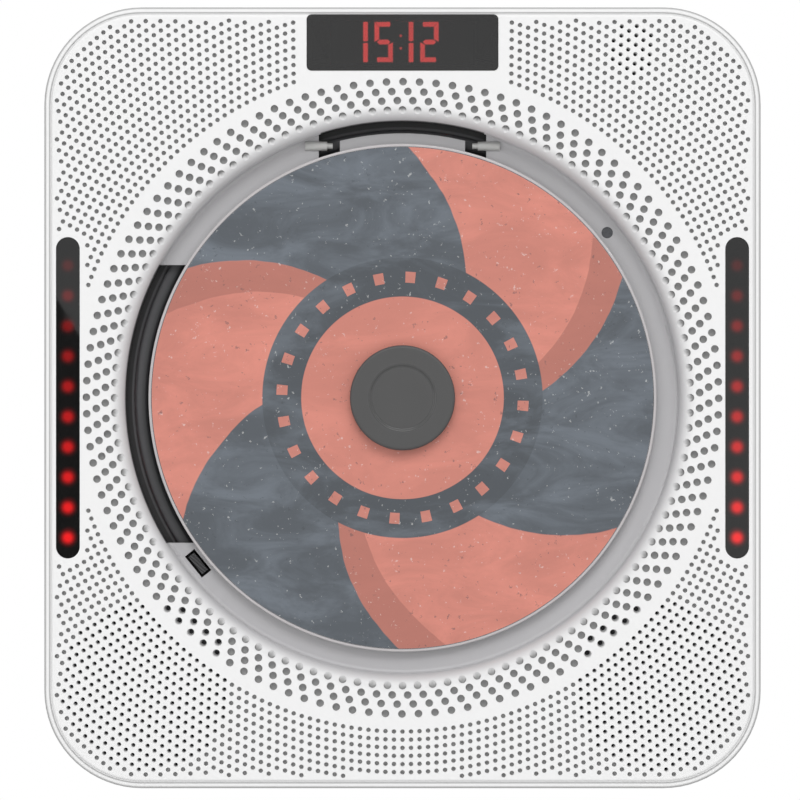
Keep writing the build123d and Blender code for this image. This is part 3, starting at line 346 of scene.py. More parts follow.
def carried_round(profile, count):
    """A profile of (radius, y) carried round the disc's axis, as points and triangles.
    Point = (radius sin t, y, radius cos t), t from 0 to a full turn. A profile that starts on the axis
    ends there too, where its points merge into poles, and any other one closes on itself."""
    profile = np.asarray(profile, float)
    points = raised(profile[:, :1, None] * on_circle(1.0, round_turn(count)), profile[:, 1:])
    return points.reshape(-1, 3), grid_faces(len(profile), count, loop_rows=profile[0, 0] > 0)


def arc(centre_radius, centre_y, size, start, end, steps):
    """Points of a circular corner in a profile, from one angle to another in degrees:
    (centre radius + size cos a, centre y + size sin a)."""
    a = np.radians(np.linspace(start, end, steps))
    return np.stack([centre_radius + size * np.cos(a), centre_y + size * np.sin(a)], -1)


def make_piece(name, points, faces, body, finishes, places=None):
    """An object at the origin from points in millimetres and triangles, its faces turned outwards,
    its doubles merged and its normals weighted by area, riding on a body."""
    mesh = bpy.data.meshes.new(name)
    mesh.from_pydata((points * MM).tolist(), [], faces.tolist())
    for kind in finishes:
        mesh.materials.append(finish(kind))
    if places is not None:
        mesh.polygons.foreach_set("material_index", places.astype(np.int32))
    work = bmesh.new()
    work.from_mesh(mesh)
    bmesh.ops.remove_doubles(work, verts=work.verts, dist=MERGE_DISTANCE)
    bmesh.ops.recalc_face_normals(work, faces=work.faces)
    work.to_mesh(mesh)
    work.free()
    mesh.shade_smooth()
    mesh.set_sharp_from_angle(angle=SHARP_ANGLE)
    piece = bpy.data.objects.new(name, mesh)
    bpy.context.scene.collection.objects.link(piece)
    weighted = piece.modifiers.new("Even shading", "WEIGHTED_NORMAL")
    weighted.keep_sharp = True
    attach(piece, body)
    return piece


def merged_copy(name):
    """Points in millimetres and triangles of a merged copy of a node's mesh."""
    work = bmesh.new()
    work.from_mesh(node[name].data)
    bmesh.ops.remove_doubles(work, verts=work.verts, dist=MERGE_DISTANCE)
    bmesh.ops.triangulate(work, faces=work.faces)
    work.verts.index_update()
    points = np.array([v.co for v in work.verts]) / MM
    faces = np.array([[v.index for v in f.verts] for f in work.faces])
    work.free()
    return points, faces


def open_loops(faces):
    """Loops of vertices along the open edges of some triangles, in the triangles' own direction."""
    edges = np.vstack([faces[:, [0, 1]], faces[:, [1, 2]], faces[:, [2, 0]]])
    size = int(edges.max()) + 1
    rim = edges[~np.isin(edges @ [size, 1], edges @ [1, size])]
    following = dict(rim.tolist())
    loops = []
    while following:
        start, here = following.popitem()
        loop = [start]
        while here != start:
            loop.append(here)
            here = following.pop(here)
        loops.append(np.array(loop))
    return loops


def inside(points, outline):
    """Whether each flat point is inside a closed outline, by the crossings of a line to its right."""
    a, b = outline, np.roll(outline, -1, 0)
    x, z = points[:, :1], points[:, 1:]
    spans = (a[:, 1] > z) != (b[:, 1] > z)
    rise = np.where(a[:, 1] == b[:, 1], 1.0, b[:, 1] - a[:, 1])
    crossing = a[:, 0] + (z - a[:, 1]) * (b[:, 0] - a[:, 0]) / rise
    return (spans & (x < crossing)).sum(1) % 2 == 1


# --- front face

# Radii are from the disc's axis, and y is negative outwards, all in millimetres.
FACE_LEVEL = -42.0
LIP_RADIUS, LIP_ROUNDING, WELL_RADIUS = 68.7, 3.5, 65.2
LIP_FOOT = FACE_LEVEL + LIP_ROUNDING
WEB_RADIUS = 66.6  # where the web ends on the lip's rounding, and plain rows take over
WEB_CIRCLE = LIP_RADIUS + 0.08
LIP_ROWS = 9
LIP_POINT_RADII = (66.95, 67.35, 67.75, 68.15, 68.5)  # rows of points between the lip's holes
PIT_INNER, PIT_SPAN, PIT_LEAST = 67.3, 1.1, 0.03  # a lip hole's floor: where it starts, how it deepens
LARGE_RINGS = ((67.8, 0.0), (70.0, 2.0), (72.15, 1.0), (74.45, 0.1))  # radius and first hole's angle
SMALL_SIDES, LARGE_SIDES = 10, 20
OPEN_DEPTH, OPEN_DEPTH_GAIN = 1.2, 0.3  # depth of an open hole, and its gain with a closed one's
OPEN_TAPER, OPEN_TAPER_GAIN, OPEN_LEAN = 0.4, 0.15, 0.85  # its floor's size and shift
FACE_HALF_WIDTH, FACE_HALF_HEIGHT, FACE_CORNER = 82.1, 89.7, 20.7
SEAM_HALF_WIDTH, SEAM_HALF_HEIGHT, SEAM_CORNER = 82.7, 90.3, 21.3
SEAM_LEVEL, SEAM_DEPTH, SEAM_INNER, SEAM_OUTER = -41.6, 0.4, -0.12, 0.27
WINDOW_X, WINDOW_HALF_LENGTH, WINDOW_RADIUS = 78.8, 37.75, 2.7
FACE_NEAR, LIP_NEAR, FOOT_NEAR = 0.001, 0.05, 0.003  # how near a vertex is to count as on each
WEB_CIRCLE_POINTS, LIP_POINTS, SEAM_STEPS = 360, 120, 17
# the second kind: closed holes' floors, painted grey as their shade
SHELL, SHADE_FLOOR, CLOTH = range(3)


def face_height(flat):
    """The face's y at flat points: level as far in as the lip, then along the lip's quarter round,
    y = face + R - sqrt(R^2 - (lip radius - r)^2)."""
    inwards = np.clip(LIP_RADIUS - np.hypot(flat[..., 0], flat[..., 1]), 0, LIP_ROUNDING)
    return LIP_FOOT - np.sqrt(LIP_ROUNDING**2 - inwards**2)


def small_holes(sizes):
    """Centres of the small holes: ring k has 6k of them on a circle of k pitches, the first one
    straight down, as far as they stay clear of the edge, the windows and the display."""
    rings = np.arange(sizes.first_ring, sizes.last_ring + 1)
    ring = np.repeat(rings, 6 * rings)
    place = np.arange(len(ring)) - np.repeat(np.cumsum(6 * rings) - 6 * rings, 6 * rings)
    angles = np.pi + 2 * np.pi * place / (6 * ring)
    centres = on_circle((ring * sizes.pitch / MM)[:, None], angles)
    across, up = np.abs(centres).T
    corner = np.stack([across - FACE_HALF_WIDTH + FACE_CORNER, up - FACE_HALF_HEIGHT + FACE_CORNER], -1)
    outside = np.hypot(*np.maximum(corner, 0).T) + np.minimum(corner.max(1), 0) - FACE_CORNER
    beyond = np.maximum(up - WINDOW_HALF_LENGTH + WINDOW_RADIUS, 0)
    window = np.hypot(across - WINDOW_X, beyond) - WINDOW_RADIUS
    kept = (outside < -sizes.edge_gap / MM) & (window > sizes.window_gap / MM)
    kept &= (across > sizes.display_gap / MM) | (centres[:, 1] < 0)
    return centres[kept]


def large_holes(sizes):
    """Centres of the large holes, in staggered rings round the well."""
    turns = round_turn(sizes.large_count)
    return np.vstack([on_circle(radius, turns + np.radians(start)) for radius, start in LARGE_RINGS])


def hole_rims(centres, radius, sides):
    """Rims of round holes, in (holes, sides, 2): centre + radius (sin t, cos t), t from the disc's axis."""
    angles = np.arctan2(*centres.T)[:, None] + round_turn(sides)
    return centres[:, None] + on_circle(radius, angles)


def opens(centres, sizes):
    """Whether each hole goes right through: over a speaker, or over the receiver."""
    speaker = np.hypot(np.abs(centres[:, 0]) - sizes.speaker_x / MM, centres[:, 1] + sizes.speaker_z / MM)
    receiver = np.hypot(centres[:, 0] - sizes.receiver_x / MM, centres[:, 1] - sizes.receiver_z / MM)
    return (speaker < sizes.speaker_radius / MM) | (receiver < sizes.receiver_radius / MM)


class Surface:
    """Points and triangles that gather into one surface, with the kind of each triangle."""

    def __init__(self):
        self.points, self.faces, self.kinds = np.empty((0, 3)), [], []

    def place(self, points):
        """Adds points and gives the index of the first."""
        first = len(self.points)
        self.points = np.vstack([self.points, points.reshape(-1, 3)])
        return first

    def cover(self, triangles, kind=SHELL):
        """Adds triangles of one kind."""
        self.faces.append(triangles.reshape(-1, 3))
        self.kinds.append(np.full(len(self.faces[-1]), kind))

    def whole(self):
        """The points, the triangles sorted by kind, and the kinds."""
        faces, kinds = np.vstack(self.faces), np.concatenate(self.kinds)
        order = np.argsort(kinds, kind="stable")
        return self.points, faces[order], kinds[order]


def hole_floors(rims, depth, taper):
    """Floors of holes with the given rims: a floor's point = centre + taper (rim - centre), moved
    OPEN_LEAN (1 - taper) of the hole's radius towards the disc's axis, at the depth below the face.
    A depth below nothing stands for a hole at the lip, whose floor is level with the lip at
    PIT_INNER and sinks outwards to the whole depth over PIT_SPAN."""
    centre = rims.mean(1)[:, None]
    taper = taper[:, None, None]
    size = np.linalg.norm(rims[:, :1] - centre, axis=2, keepdims=True)
    lean = OPEN_LEAN * (1 - taper) * size / np.linalg.norm(centre, axis=2, keepdims=True)
    depth = depth[:, None]
    slope = np.clip((np.hypot(rims[..., 0], rims[..., 1]) - PIT_INNER) / PIT_SPAN, PIT_LEAST, 1)
    level = np.where(depth < 0, face_height(rims) - depth * slope, depth + FACE_LEVEL)
    return raised(centre * (1 - lean) + taper * (rims - centre), level)


def hole_faces(count, sides, rim, low):
    """Triangles of holes' walls and of their floors, where their rims stand from one index
    and their floors from another, hole after hole."""
    hole = np.arange(count)[:, None] * sides
    here = hole + np.arange(sides)
    beside = hole + (np.arange(sides) + 1) % sides
    walls = np.stack([rim + here, low + here, low + beside, rim + here, low + beside, rim + beside], -1)
    fan = np.arange(1, sides - 1)
    return walls, np.stack([low + hole + 0 * fan, low + hole + fan, low + hole + fan + 1], -1)


def perforated_web(outer, windows, inner, rims):
    """The flat of the face and the start of its lip, as a triangulation that keeps every edge of
    its outline, its windows, the lip's circles and the holes' rims.
    Gives flat points, triangles, and the index where the rims start."""
    circle = on_circle(WEB_CIRCLE, round_turn(WEB_CIRCLE_POINTS))
    halfway = round_turn(LIP_POINTS) + np.pi / LIP_POINTS
    between = np.vstack([on_circle(radius, halfway) for radius in LIP_POINT_RADII])
    bounds = [outer, *windows, inner, circle]
    loops = bounds + [rim for group in rims for rim in group]
    sizes = [len(loop) for loop in loops]
    owner = np.repeat([*range(len(loops)), -1], [*sizes, len(between)])
    flat = np.vstack(loops + [between])
    starts = np.cumsum([0] + sizes)
    index = np.arange(starts[-1])
    after = index + 1
    after[starts[1:] - 1] = starts[:-1]
    edges = np.stack([index, after], -1).tolist()
    points, _, faces, origins = delaunay_2d_cdt([Vector(p) for p in flat.tolist()], edges, [], 0, 1e-5)[:4]
    if len(points) != len(flat):
        raise RuntimeError(f"the face's outlines cross: {len(flat)} points became {len(points)}")
    faces = np.array([origin[0] for origin in origins])[np.array(faces)]
    whose = owner[faces[:, 0]]
    same = (owner[faces] == whose[:, None]).all(1)
    gone = same & (whose > 0) & (whose != len(bounds) - 1)
    rest = same & (whose == 0)
    gone[rest] = ~inside(flat[faces[rest]].mean(1), outer)
    return flat, faces[~gone], starts[len(bounds)]


def seam_step():
    """A narrow step that closes the seam round the cover: a square profile of (outwards, y) carried
    along a rounded rectangle, point = corner centre + (corner + outwards) (sin t, cos t), t over a
    quarter turn for each corner. Gives points and triangles."""
    turns = (np.linspace(0, np.pi / 2, SEAM_STEPS) + np.arange(4)[:, None] * np.pi / 2).reshape(-1)
    signs = np.repeat([[1, 1], [1, -1], [-1, -1], [-1, 1]], SEAM_STEPS, 0)
    centres = signs * [SEAM_HALF_WIDTH - SEAM_CORNER, SEAM_HALF_HEIGHT - SEAM_CORNER]
    outwards = np.array([SEAM_INNER, SEAM_OUTER, SEAM_OUTER, SEAM_INNER])[:, None, None]
    height = SEAM_LEVEL + np.array([0, 0, SEAM_DEPTH, SEAM_DEPTH])[:, None]
    way = on_circle(1.0, turns)
    points = raised(centres + SEAM_CORNER * way + outwards * way, height)
    return points, grid_faces(4, len(turns), loop_rows=True)


def cover_without_face():
    """The front cover without its flat and lip: points, the triangles kept, and the loops round what
    was taken off: the flat outline, the windows, and the angles of the well's circle."""
    solid, faces = merged_copy("front_cover")
    flat, height = solid[:, [0, 2]], solid[:, 1]
    radius = np.hypot(*flat.T)
    level = height < FACE_LEVEL + FACE_NEAR
    lip = (radius > WELL_RADIUS - LIP_NEAR) & (radius < LIP_RADIUS + LIP_NEAR)
    lip &= height < LIP_FOOT + FOOT_NEAR
    taken = level[faces].all(1) | lip[faces].all(1)
    loops = sorted(open_loops(faces[taken]), key=lambda loop: -np.abs(flat[loop][:, 1]).max())
    wells = [loop for loop in loops if radius[loop].max() < WELL_RADIUS + 1]
    outer, *windows = [flat[loop] for loop in loops if radius[loop].max() >= WELL_RADIUS + 1]
    return solid, faces[~taken], outer, windows, np.sort(np.arctan2(*flat[wells[0]].T))


def perforated_face(sizes):
    """The front cover with its holes: the flat and the start of the lip as a perforated web, the rest
    of the lip's quarter round, the holes' walls and floors, the rest of the cover, and the seam.
    Gives points in millimetres, triangles, and each one's kind."""
    solid, kept, outer, windows, angles = cover_without_face()
    surface = Surface()
    groups = [
        (small_holes(sizes), sizes.small_radius, sizes.small_depth, SMALL_SIDES),
        (large_holes(sizes), sizes.large_radius, sizes.large_depth, LARGE_SIDES),
    ]
    rims = [hole_rims(centres, radius / MM, sides) for centres, radius, _, sides in groups]
    flat, web, rim_start = perforated_web(outer, windows, on_circle(WEB_RADIUS, angles), rims)
    surface.place(raised(flat, face_height(flat)))
    surface.cover(web)

    bend = np.linspace(np.arcsin((LIP_RADIUS - WEB_RADIUS) / LIP_ROUNDING), np.pi / 2, LIP_ROWS)[:, None]
    rows = (LIP_RADIUS - LIP_ROUNDING * np.sin(bend))[..., None] * on_circle(1.0, angles)
    first = surface.place(raised(rows, FACE_LEVEL + LIP_ROUNDING * (1 - np.cos(bend))))
    surface.cover(grid_faces(LIP_ROWS, len(angles)) + first)

    for (centres, _, blind, sides), rim in zip(groups, rims):
        through = opens(centres, sizes)
        shallow = np.hypot(*centres.T) < LIP_RADIUS
        depth = np.where(shallow, -sizes.lip_depth / MM, blind / MM)
        depth = np.where(through, OPEN_DEPTH + OPEN_DEPTH_GAIN * blind / MM, depth)
        taper = np.where(through, OPEN_TAPER + OPEN_TAPER_GAIN * blind / MM, 1.0)
        first = surface.place(hole_floors(rim, depth, taper))
        walls, floors = hole_faces(len(centres), sides, rim_start, first)
        surface.cover(walls)
        for kind, chosen in ((SHELL, shallow), (SHADE_FLOOR, ~through & ~shallow), (CLOTH, through)):
            surface.cover(floors[chosen], kind)
        rim_start += len(centres) * sides

    surface.cover(kept + surface.place(solid))
    strip, strip_faces = seam_step()
    surface.cover(strip_faces + surface.place(strip))
    return surface.whole()


class PLAYER_OT_front_face(bpy.types.Operator):
    """Makes the perforated front face over the front cover"""
    bl_idname = "player.front_face"
    bl_label = "Front face"

    def execute(self, context):
        points, faces, kinds = perforated_face(context.scene.player_perforation)
        piece = make_piece("front_face", points, faces, "case",
                           ["white_plastic", "hole_shade_floor", "hole_cloth"], kinds)
        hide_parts("front_cover")
        return {"FINISHED"}


# --- finishes

# Lengths in metres, as the shaders take them. A pair is where a change starts and where it ends.
LIGHTS, FIRST_LIGHT = 10, 0.03115  # level lights in a column, and the top one's height
FULL_TOP, FULL_SPAN = 0.0315, 0.0641  # the column's height range, over which the lights grow brighter
WINDOW_FRONT = -0.0417  # the glow shows in front of this y only
CRESCENT_LOW, CRESCENT_TOP, HINGE_HALF_WIDTH = -0.0343, 0.0314, 0.0193
# painted shade: WELL_SHADE greys the well, RECESS_SHADE the holes, by radius and depth
WELL_SHADE, HOLES_START = (0.0644, 0.0698), (0.0664, 0.0668)  # radii
RECESS_SHADE, RECESS_END = (0.00002, 0.0009), (0.00185, 0.00195)  # depths in a hole
# the wall painted black as the shadow under the lip
WALL_SHADOW_START, WALL_SHADOW_END = 0.0642, (0.0652, 0.0656)  # radii of the blackened wall
RIM_CORNER_X, RIM_CORNER_Z = 0.0614, 0.069  # centre of the rim's corner
# RIM_OUTSIDE and RIM_INSIDE: where the painted shade on the rim's rounding starts and ends
RIM_OUTSIDE, RIM_INSIDE, RIM_BACK = (0.0223, 0.0228), (0.0217, 0.0220), (-0.0400, -0.0390)
RING_START, RING_END, DECK_SHADOW = (0.0610, 0.0622), (0.0639, 0.0643), (0.0640, 0.0644)  # radii
# DISC_EDGE_HIGHLIGHT: radii of the painted highlight at the disc's edge
DISC_EDGE_HIGHLIGHT, POLISH_START, POLISH_END = (0.0592, 0.0595), (0.0070, 0.0072), (0.0080, 0.0082)  # radii
SPEAKER_X, SPEAKER_DOWN, FOAM_RADIUS, LENS_RADIUS = 0.0604, 0.068, 0.0135, 0.0024
MATT = {"Specular_IOR_Level": 0.2}


def moulded(work, tint, gloss, grain, relief, drift):
    """Moulded plastic: fine spark-eroded grain and a slow drift in colour."""
    fine = work.noise(grain, 2.0, 0.6)
    slow = work.noise(21, 2.0)
    work.surface(
        work.shades(slow.step(0.25, 0.75), tint, 1 - drift, 1 + drift),
        gloss + 0.1 * (fine - 0.5) + 0.06 * (slow - 0.5), fine, relief, 0.00002, IOR=1.49)


def satin_white(work, tint):
    """Satin white moulding with an even grain."""
    moulded(work, tint, 0.42, 5600, 0.22, 0.006)


def matt_black(work, tint):
    """Matt black moulding with a coarse grain."""
    moulded(work, tint, 0.5, 4200, 0.5, 0.06)


def white_plastic(work, colours):
    """Satin white moulding with painted shade: greyer in the well below the lip and in the recesses
    of its holes, and black as painted shadow on the wall behind the finger crescent and the hinge."""
    satin_white(work, colours.shell)
    x, y, z, radius = work.x, work.y, work.z, work.radius
    # painted shade: the well below the lip and the lip's rounding greyed inwards
    well_shade = 1 - radius.step(*WELL_SHADE)
    inwards = (LIP_RADIUS * MM - radius).above(0.0).below(LIP_ROUNDING * MM)
    recess = y - LIP_FOOT * MM + ((LIP_ROUNDING * MM) ** 2 - inwards ** 2.0).above(0.0).root()
    # painted shade: hole walls and lip pits greyed with their depth below the face
    hollow = recess.step(*RECESS_SHADE) * (1 - recess.step(*RECESS_END)) * radius.step(*HOLES_START)
    shell = work.mix(hollow, work.mix(well_shade, work.tone(), colours.well_shade_grey), colours.liner)
    crescent = (x < 0) * (z < CRESCENT_TOP) * (z > CRESCENT_LOW)
    hinge = (abs(x) < HINGE_HALF_WIDTH) * (z > 0)
    # painted shadow: the wall behind the crescent and the hinge painted near black
    wall = (crescent + hinge) * (1 - radius.step(*WALL_SHADOW_END)) * (radius > WALL_SHADOW_START)
    work.set(Base_Color=work.mix(wall, shell, screen(22, 22, 23)))


def rim_plastic(work, tint):
    """Satin white moulding of the rear cover, with painted shade: greyer over the rounding of its front edge.
    """
    satin_white(work, tint)
    corner = reach((abs(work.x) - RIM_CORNER_X).above(0.0), (abs(work.z) - RIM_CORNER_Z).above(0.0))
    # painted shade: the rounding at the front edge greyed to half
    edge = corner.step(*RIM_OUTSIDE) + 1 - corner.step(*RIM_INSIDE)
    edge = edge * (1 - work.y.step(*RIM_BACK))
    work.set(Base_Color=work.mix(edge, work.tone(), shade(tint, 0.5)))


def deck_plastic(work, tint):
    """Matt black moulding of the deck: painted light on its raised ring, painted shadow blackest outside it.
    """
    matt_black(work, tint)
    brushed = work.noise(900, 2.0)
    # painted light: the raised ring paler
    ring = work.radius.step(*RING_START) * (1 - work.radius.step(*RING_END))
    paler = work.mix(ring * (0.7 + 0.3 * brushed), work.tone(), shade(tint, 1.8))
    # painted shadow: blackest outside the ring, under the lip
    work.set(Base_Color=work.mix(work.radius.step(*DECK_SHADOW), paler, shade(tint, 0.32)))


def knob_plastic(work, knob, tint):
    """Dark moulding of a small knob, with ribs along it: painted shade in their grooves, painted light on
    their crests.
    """
    low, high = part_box(knob)
    middle = (low + high) / 2
    turn = float(np.arctan2(-middle.x, -middle.z))
    x = work.split(work.place(centre=tuple(middle), turn=(0, turn, 0)))[0]
    ribs = (x * 9200).sine() * 0.5 + 0.5
    grain = work.noise(5200, 2.0, 0.6)
    # painted shade and light: the ribs' colour runs from dark in the grooves to light on the crests
    work.surface(work.shades(ribs, tint, 0.3, 1.25), 0.45 + 0.1 * grain, ribs + 0.1 * grain, 0.7, 0.0001)


def hole_shade_floor(work, tint):
    """Grey painted at the bottom of the closed holes as their shade, with a grain like pressed felt."""
    fibre = work.noise(5200, 4.0, 0.7, 0.8)
    work.surface(work.shades(fibre, tint, 0.82, 1.18), 0.8 + 0.15 * fibre, fibre, 0.5, 0.00006, **MATT)


def hole_cloth(work):
    """Black cloth stretched under the open holes: two crossing rows of threads."""
    weave = ((work.x * 15700).sine() * (work.z * 15700).sine() + 1) * 0.5
    work.surface(
        work.mix(weave, screen(34, 34, 35), screen(78, 78, 80)), 0.82 + 0.1 * weave, weave, 0.8, 0.00008,
        **MATT)


def smoked(work, level, clear):
    """Polished smoked plastic: near black, with fine dust and wipe marks in its gloss."""
    haze = work.noise(90, 4.0, 0.55, 0.6)
    dust = work.cells(1500) < 0.06
    work.set(
        Base_Color=work.mix(haze, grey(level - 3), grey(level + 4)),
        Roughness=0.012 + 0.03 * haze.step(0.5, 0.85) + 0.3 * dust, Alpha=clear + 0.03 * haze, IOR=1.5)


def lamp_level(z):
    """How brightly a level light is lit, from its height: dim at the top, full at the bottom."""
    return ((FULL_TOP - z) / FULL_SPAN).above(0.0).below(1.0)


def level_window(work, sizes):
    """Smoked window over the level lights, with a painted red glow: each light's spot and soft ring painted
    as emission.
    """
    smoked(work, 25, 0.9)
    pitch, radius = sizes.light_pitch, sizes.light_radius
    lamp = ((work.z - FIRST_LIGHT) / pitch + 0.5).whole() * pitch + FIRST_LIGHT
    lamp = lamp.below(FIRST_LIGHT).above(FIRST_LIGHT - (LIGHTS - 1) * pitch)
    away = reach(work.z - lamp, abs(work.x) - WINDOW_X * MM)
    # painted light: each lamp's spot and glow are emission of the window itself
    core = 1 - away.step(radius * 0.25, radius * 1.02)
    painted_halo = 1 - away.step(radius * 0.7, sizes.painted_glow_reach)
    power = (lamp_level(lamp) ** 1.25) * 0.9 + 0.065
    glow = work.mix(core, screen(150, 18, 20), screen(255, 26, 30))
    strength = power * (core * 0.75 + painted_halo * 0.25) * (work.y < WINDOW_FRONT)
    work.set(Emission_Color=work.mix(strength, grey(0), glow), Emission_Strength=1.0)


def red_light(work):
    """Red lamps: fully lit at the bottom of their column, dimmer up it."""
    fine = work.noise(3000)
    work.set(
        Base_Color=work.mix(fine, screen(150, 14, 16), screen(176, 24, 24)),
        Emission_Color=work.mix(lamp_level(work.z) ** 1.4, screen(60, 8, 8), screen(255, 30, 30)),
        Emission_Strength=1.6, Roughness=0.25 + 0.08 * fine)


def lit_stroke(work, tint):
    """Lit strokes of the clock: bright along the middle, deeper red at the edges."""
    across = work.add("ShaderNodeAttribute", {"attribute_name": "across"}, (), "Fac")
    fine = work.noise(2600)
    core = 1 - across.step(0.6, 1.05)
    work.set(
        Base_Color=work.mix(core, screen(60, 8, 8), screen(120, 20, 18)),
        Emission_Color=work.mix(core * (0.92 + 0.16 * fine), shade(tint, 0.22), tint),
        Emission_Strength=30.0, Roughness=0.3 + 0.1 * fine)


def circuit_board(work):
    """Green solder mask over copper tracks, with tinned pads."""
    bend = work.noise(55, 0.0)
    track = (work.x * 2350 + bend * 26).sine() > 0.72
    cross = (work.z * 2350 - bend * 26).sine() > 0.78
    area = bend > 0.5
    tracks = track * area + cross * (1 - area)
    pad = work.cells(330) < 0.13
    fine = work.noise(2500)
    green = work.mix(tracks, screen(22, 84, 52), screen(40, 120, 74))
    work.surface(
        work.mix(pad, green, screen(190, 188, 178)), 0.3 + 0.12 * fine, tracks * 0.6 + pad, 0.5, 0.00004,
        Metallic=pad * 0.9)


def plated_steel(work):
    """Zinc plated sheet: a faint spangle and fine rolling lines."""
    spangle = work.split(work.cells(620, "Color"))[0]
    rolled = work.noise(60, 3.0, at=work.place(scale=(1, 1, 40)))
    work.surface(
        work.mix(spangle, screen(200, 203, 207), screen(216, 218, 221)), 0.3 + 0.1 * spangle + 0.1 * rolled,
        rolled, 0.12, 0.00003, Metallic=1.0)


def turned_metal(work, dark, light, gloss, scale, stretch=(1, 1, 1)):
    """Turned or drawn metal: fine marks, and duller patches from handling."""
    marks = work.noise(scale, 3.0, 0.6, at=work.place(scale=stretch))
    patch = work.noise(70, 2.0)
    work.surface(
        work.mix(marks, dark, light), gloss + 0.12 * marks + 0.1 * patch.step(0.5, 0.8), marks, 0.2,
        0.00002, Metallic=1.0)


def magnet(work):
    """Sintered magnet under a nickel skin: dark grain with paler wear."""
    grain = work.noise(1800, 4.0, 0.65)
    wear = work.noise(160, 3.0).step(0.55, 0.75)
    skin = work.mix(grain, screen(64, 65, 68), screen(98, 99, 102))
    work.surface(
        work.mix(wear, skin, screen(150, 150, 152)), 0.34 + 0.18 * grain, grain, 0.3, 0.00003,
        Metallic=0.85)


def rubber(work, tint, gloss):
    """Soft rubber: matt, with a faint bloom and dust in its grain."""
    grain = work.noise(3600, 3.0, 0.6)
    bloom = work.noise(130, 3.0).step(0.45, 0.8)
    work.surface(
        work.mix(bloom * 0.5 + grain * 0.3, tint, shade(tint, 1.9)), gloss + 0.12 * grain, grain, 0.45,
        0.00004, Specular_IOR_Level=0.3)


def paper_cone(work):
    """Pressed paper cone: rings from its mould, fibres, and a foam edge."""
    radius = reach(abs(work.x) - SPEAKER_X, work.z + SPEAKER_DOWN)
    rings = (radius * 5200).sine() * 0.5 + 0.5
    fibre = work.noise(2100, 5.0, 0.7, 1.5)
    paper = work.mix(fibre, screen(62, 61, 59), screen(98, 96, 92))
    work.surface(
        work.mix(radius > FOAM_RADIUS, paper, screen(38, 38, 39)), 0.78 + 0.15 * fibre,
        rings * 0.7 + fibre * 0.5, 0.6, 0.00012)


def lens_plastic(work):
    """Black holder with a polished clear lens in its middle."""
    fine = work.noise(5000)
    low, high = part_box("lens_holder")
    lens = reach(work.x - (low.x + high.x) / 2, work.z - (low.z + high.z) / 2) < LENS_RADIUS
    work.surface(
        work.mix(lens, screen(40, 40, 44), screen(96, 104, 140)), 0.5 + 0.1 * fine - 0.46 * lens,
        fine * (1 - lens), 0.3, 0.00002, Coat_Weight=lens * 0.8, Coat_Roughness=0.03)


def disc_print(work, colours):
    """Printed face: a pinwheel of curved coral and slate rays round a plain hub and a ring of small
    squares, with the fine grain and small worn specks of an offset print under clear lacquer."""
    coral, slate = colours.coral, colours.slate
    radius, turn = work.radius / MM, work.x.turn_to(work.z)
    sway = work.noise(60, 3.0, 0.6)
    phase = turn * 3 + radius * 0.052 + (sway - 0.5) * 0.12
    sweep = phase.sine()
    shaded = (-sweep).step(-0.012, 0.012) * (1 - (-sweep).step(0.56, 0.58))
    shaded = shaded * (phase + np.pi / 2).sine().step(0, 0.02)
    cloud = work.noise(45, 5.0, 0.62, 0.8, at=work.place(scale=(1, 1, 2.4)))
    coral_tone = work.shades(cloud.step(0.3, 0.75), coral, 0.86, 1.1)
    slate_tone = work.shades(cloud.step(0.35, 0.7), slate, 0.62, 1.2)
    ring_tone = work.shades(cloud.step(0.4, 0.66), slate, 0.5, 0.95)
    hub_tone = work.shades(cloud.step(0.35, 0.7), coral, 0.9, 1.06)
    hub_edge = radius.step(23.8, 24.0)
    square = ((turn * 24).sine() > 0.55) * (abs(radius - 28.5) < 1.3)
    speck = work.noise(620, 4.0, 0.75)
    pale = work.noise(900, 3.0, 0.7, at=work.place(centre=(0.2, 0, 0.1)))
    tone = work.mix(sweep.step(-0.012, 0.012), coral_tone, slate_tone)
    for amount, laid in (
        (shaded * 0.75, shade(coral, 0.62)), (hub_edge - radius.step(33.0, 33.2), ring_tone),
        (square * 0.9, coral_tone), (1 - hub_edge, hub_tone),
        (speck.step(0.64, 0.68) * 0.5, shade(slate, 0.4)), (pale.step(0.66, 0.70) * 0.35, colours.paper),
    ):
        tone = work.mix(amount, tone, laid)
    work.surface(tone, 0.36 + 0.1 * speck, speck, 0.08, 0.00001, Coat_Weight=0.15, Coat_Roughness=0.2)


def disc_clear(work):
    """Clear plastic at the disc's hub and edge, through which what is under it shows,
    with a painted highlight: a pale line at the very edge."""
    fine = work.noise(900)
    scuff = work.noise(500, 3.0, at=work.place(scale=(1, 1, 9))).step(0.62, 0.7)
    # painted highlight: the outermost edge pale and nearly opaque
    edge = work.radius.step(*DISC_EDGE_HIGHLIGHT)
    body = work.mix(fine, screen(120, 121, 125), screen(134, 135, 139))
    work.set(
        Base_Color=work.mix(edge, body, screen(200, 196, 197)), Roughness=0.08 + 0.05 * fine + 0.2 * scuff,
        Alpha=0.36 + 0.06 * scuff + 0.55 * edge, IOR=1.58)


def disc_mirror(work):
    """Silvered underside: a painted rainbow sheen in closely ruled rings, and fine scratches."""
    # painted sheen: rainbow colours in rings and turns, fixed on the surface
    rainbow_sheen = (work.x.turn_to(work.z) * 4 + work.radius * 60).sine() * 0.5 + 0.5
    scratch = work.noise(260, 4.0, 0.7, at=work.place(scale=(1, 1, 30))).step(0.64, 0.7)
    work.surface(
        work.mix(rainbow_sheen, screen(214, 206, 222), screen(200, 222, 214)), 0.12 + 0.12 * scratch,
        (work.radius * 1.6e5).sine(), 0.08, 0.000005, Metallic=1.0)


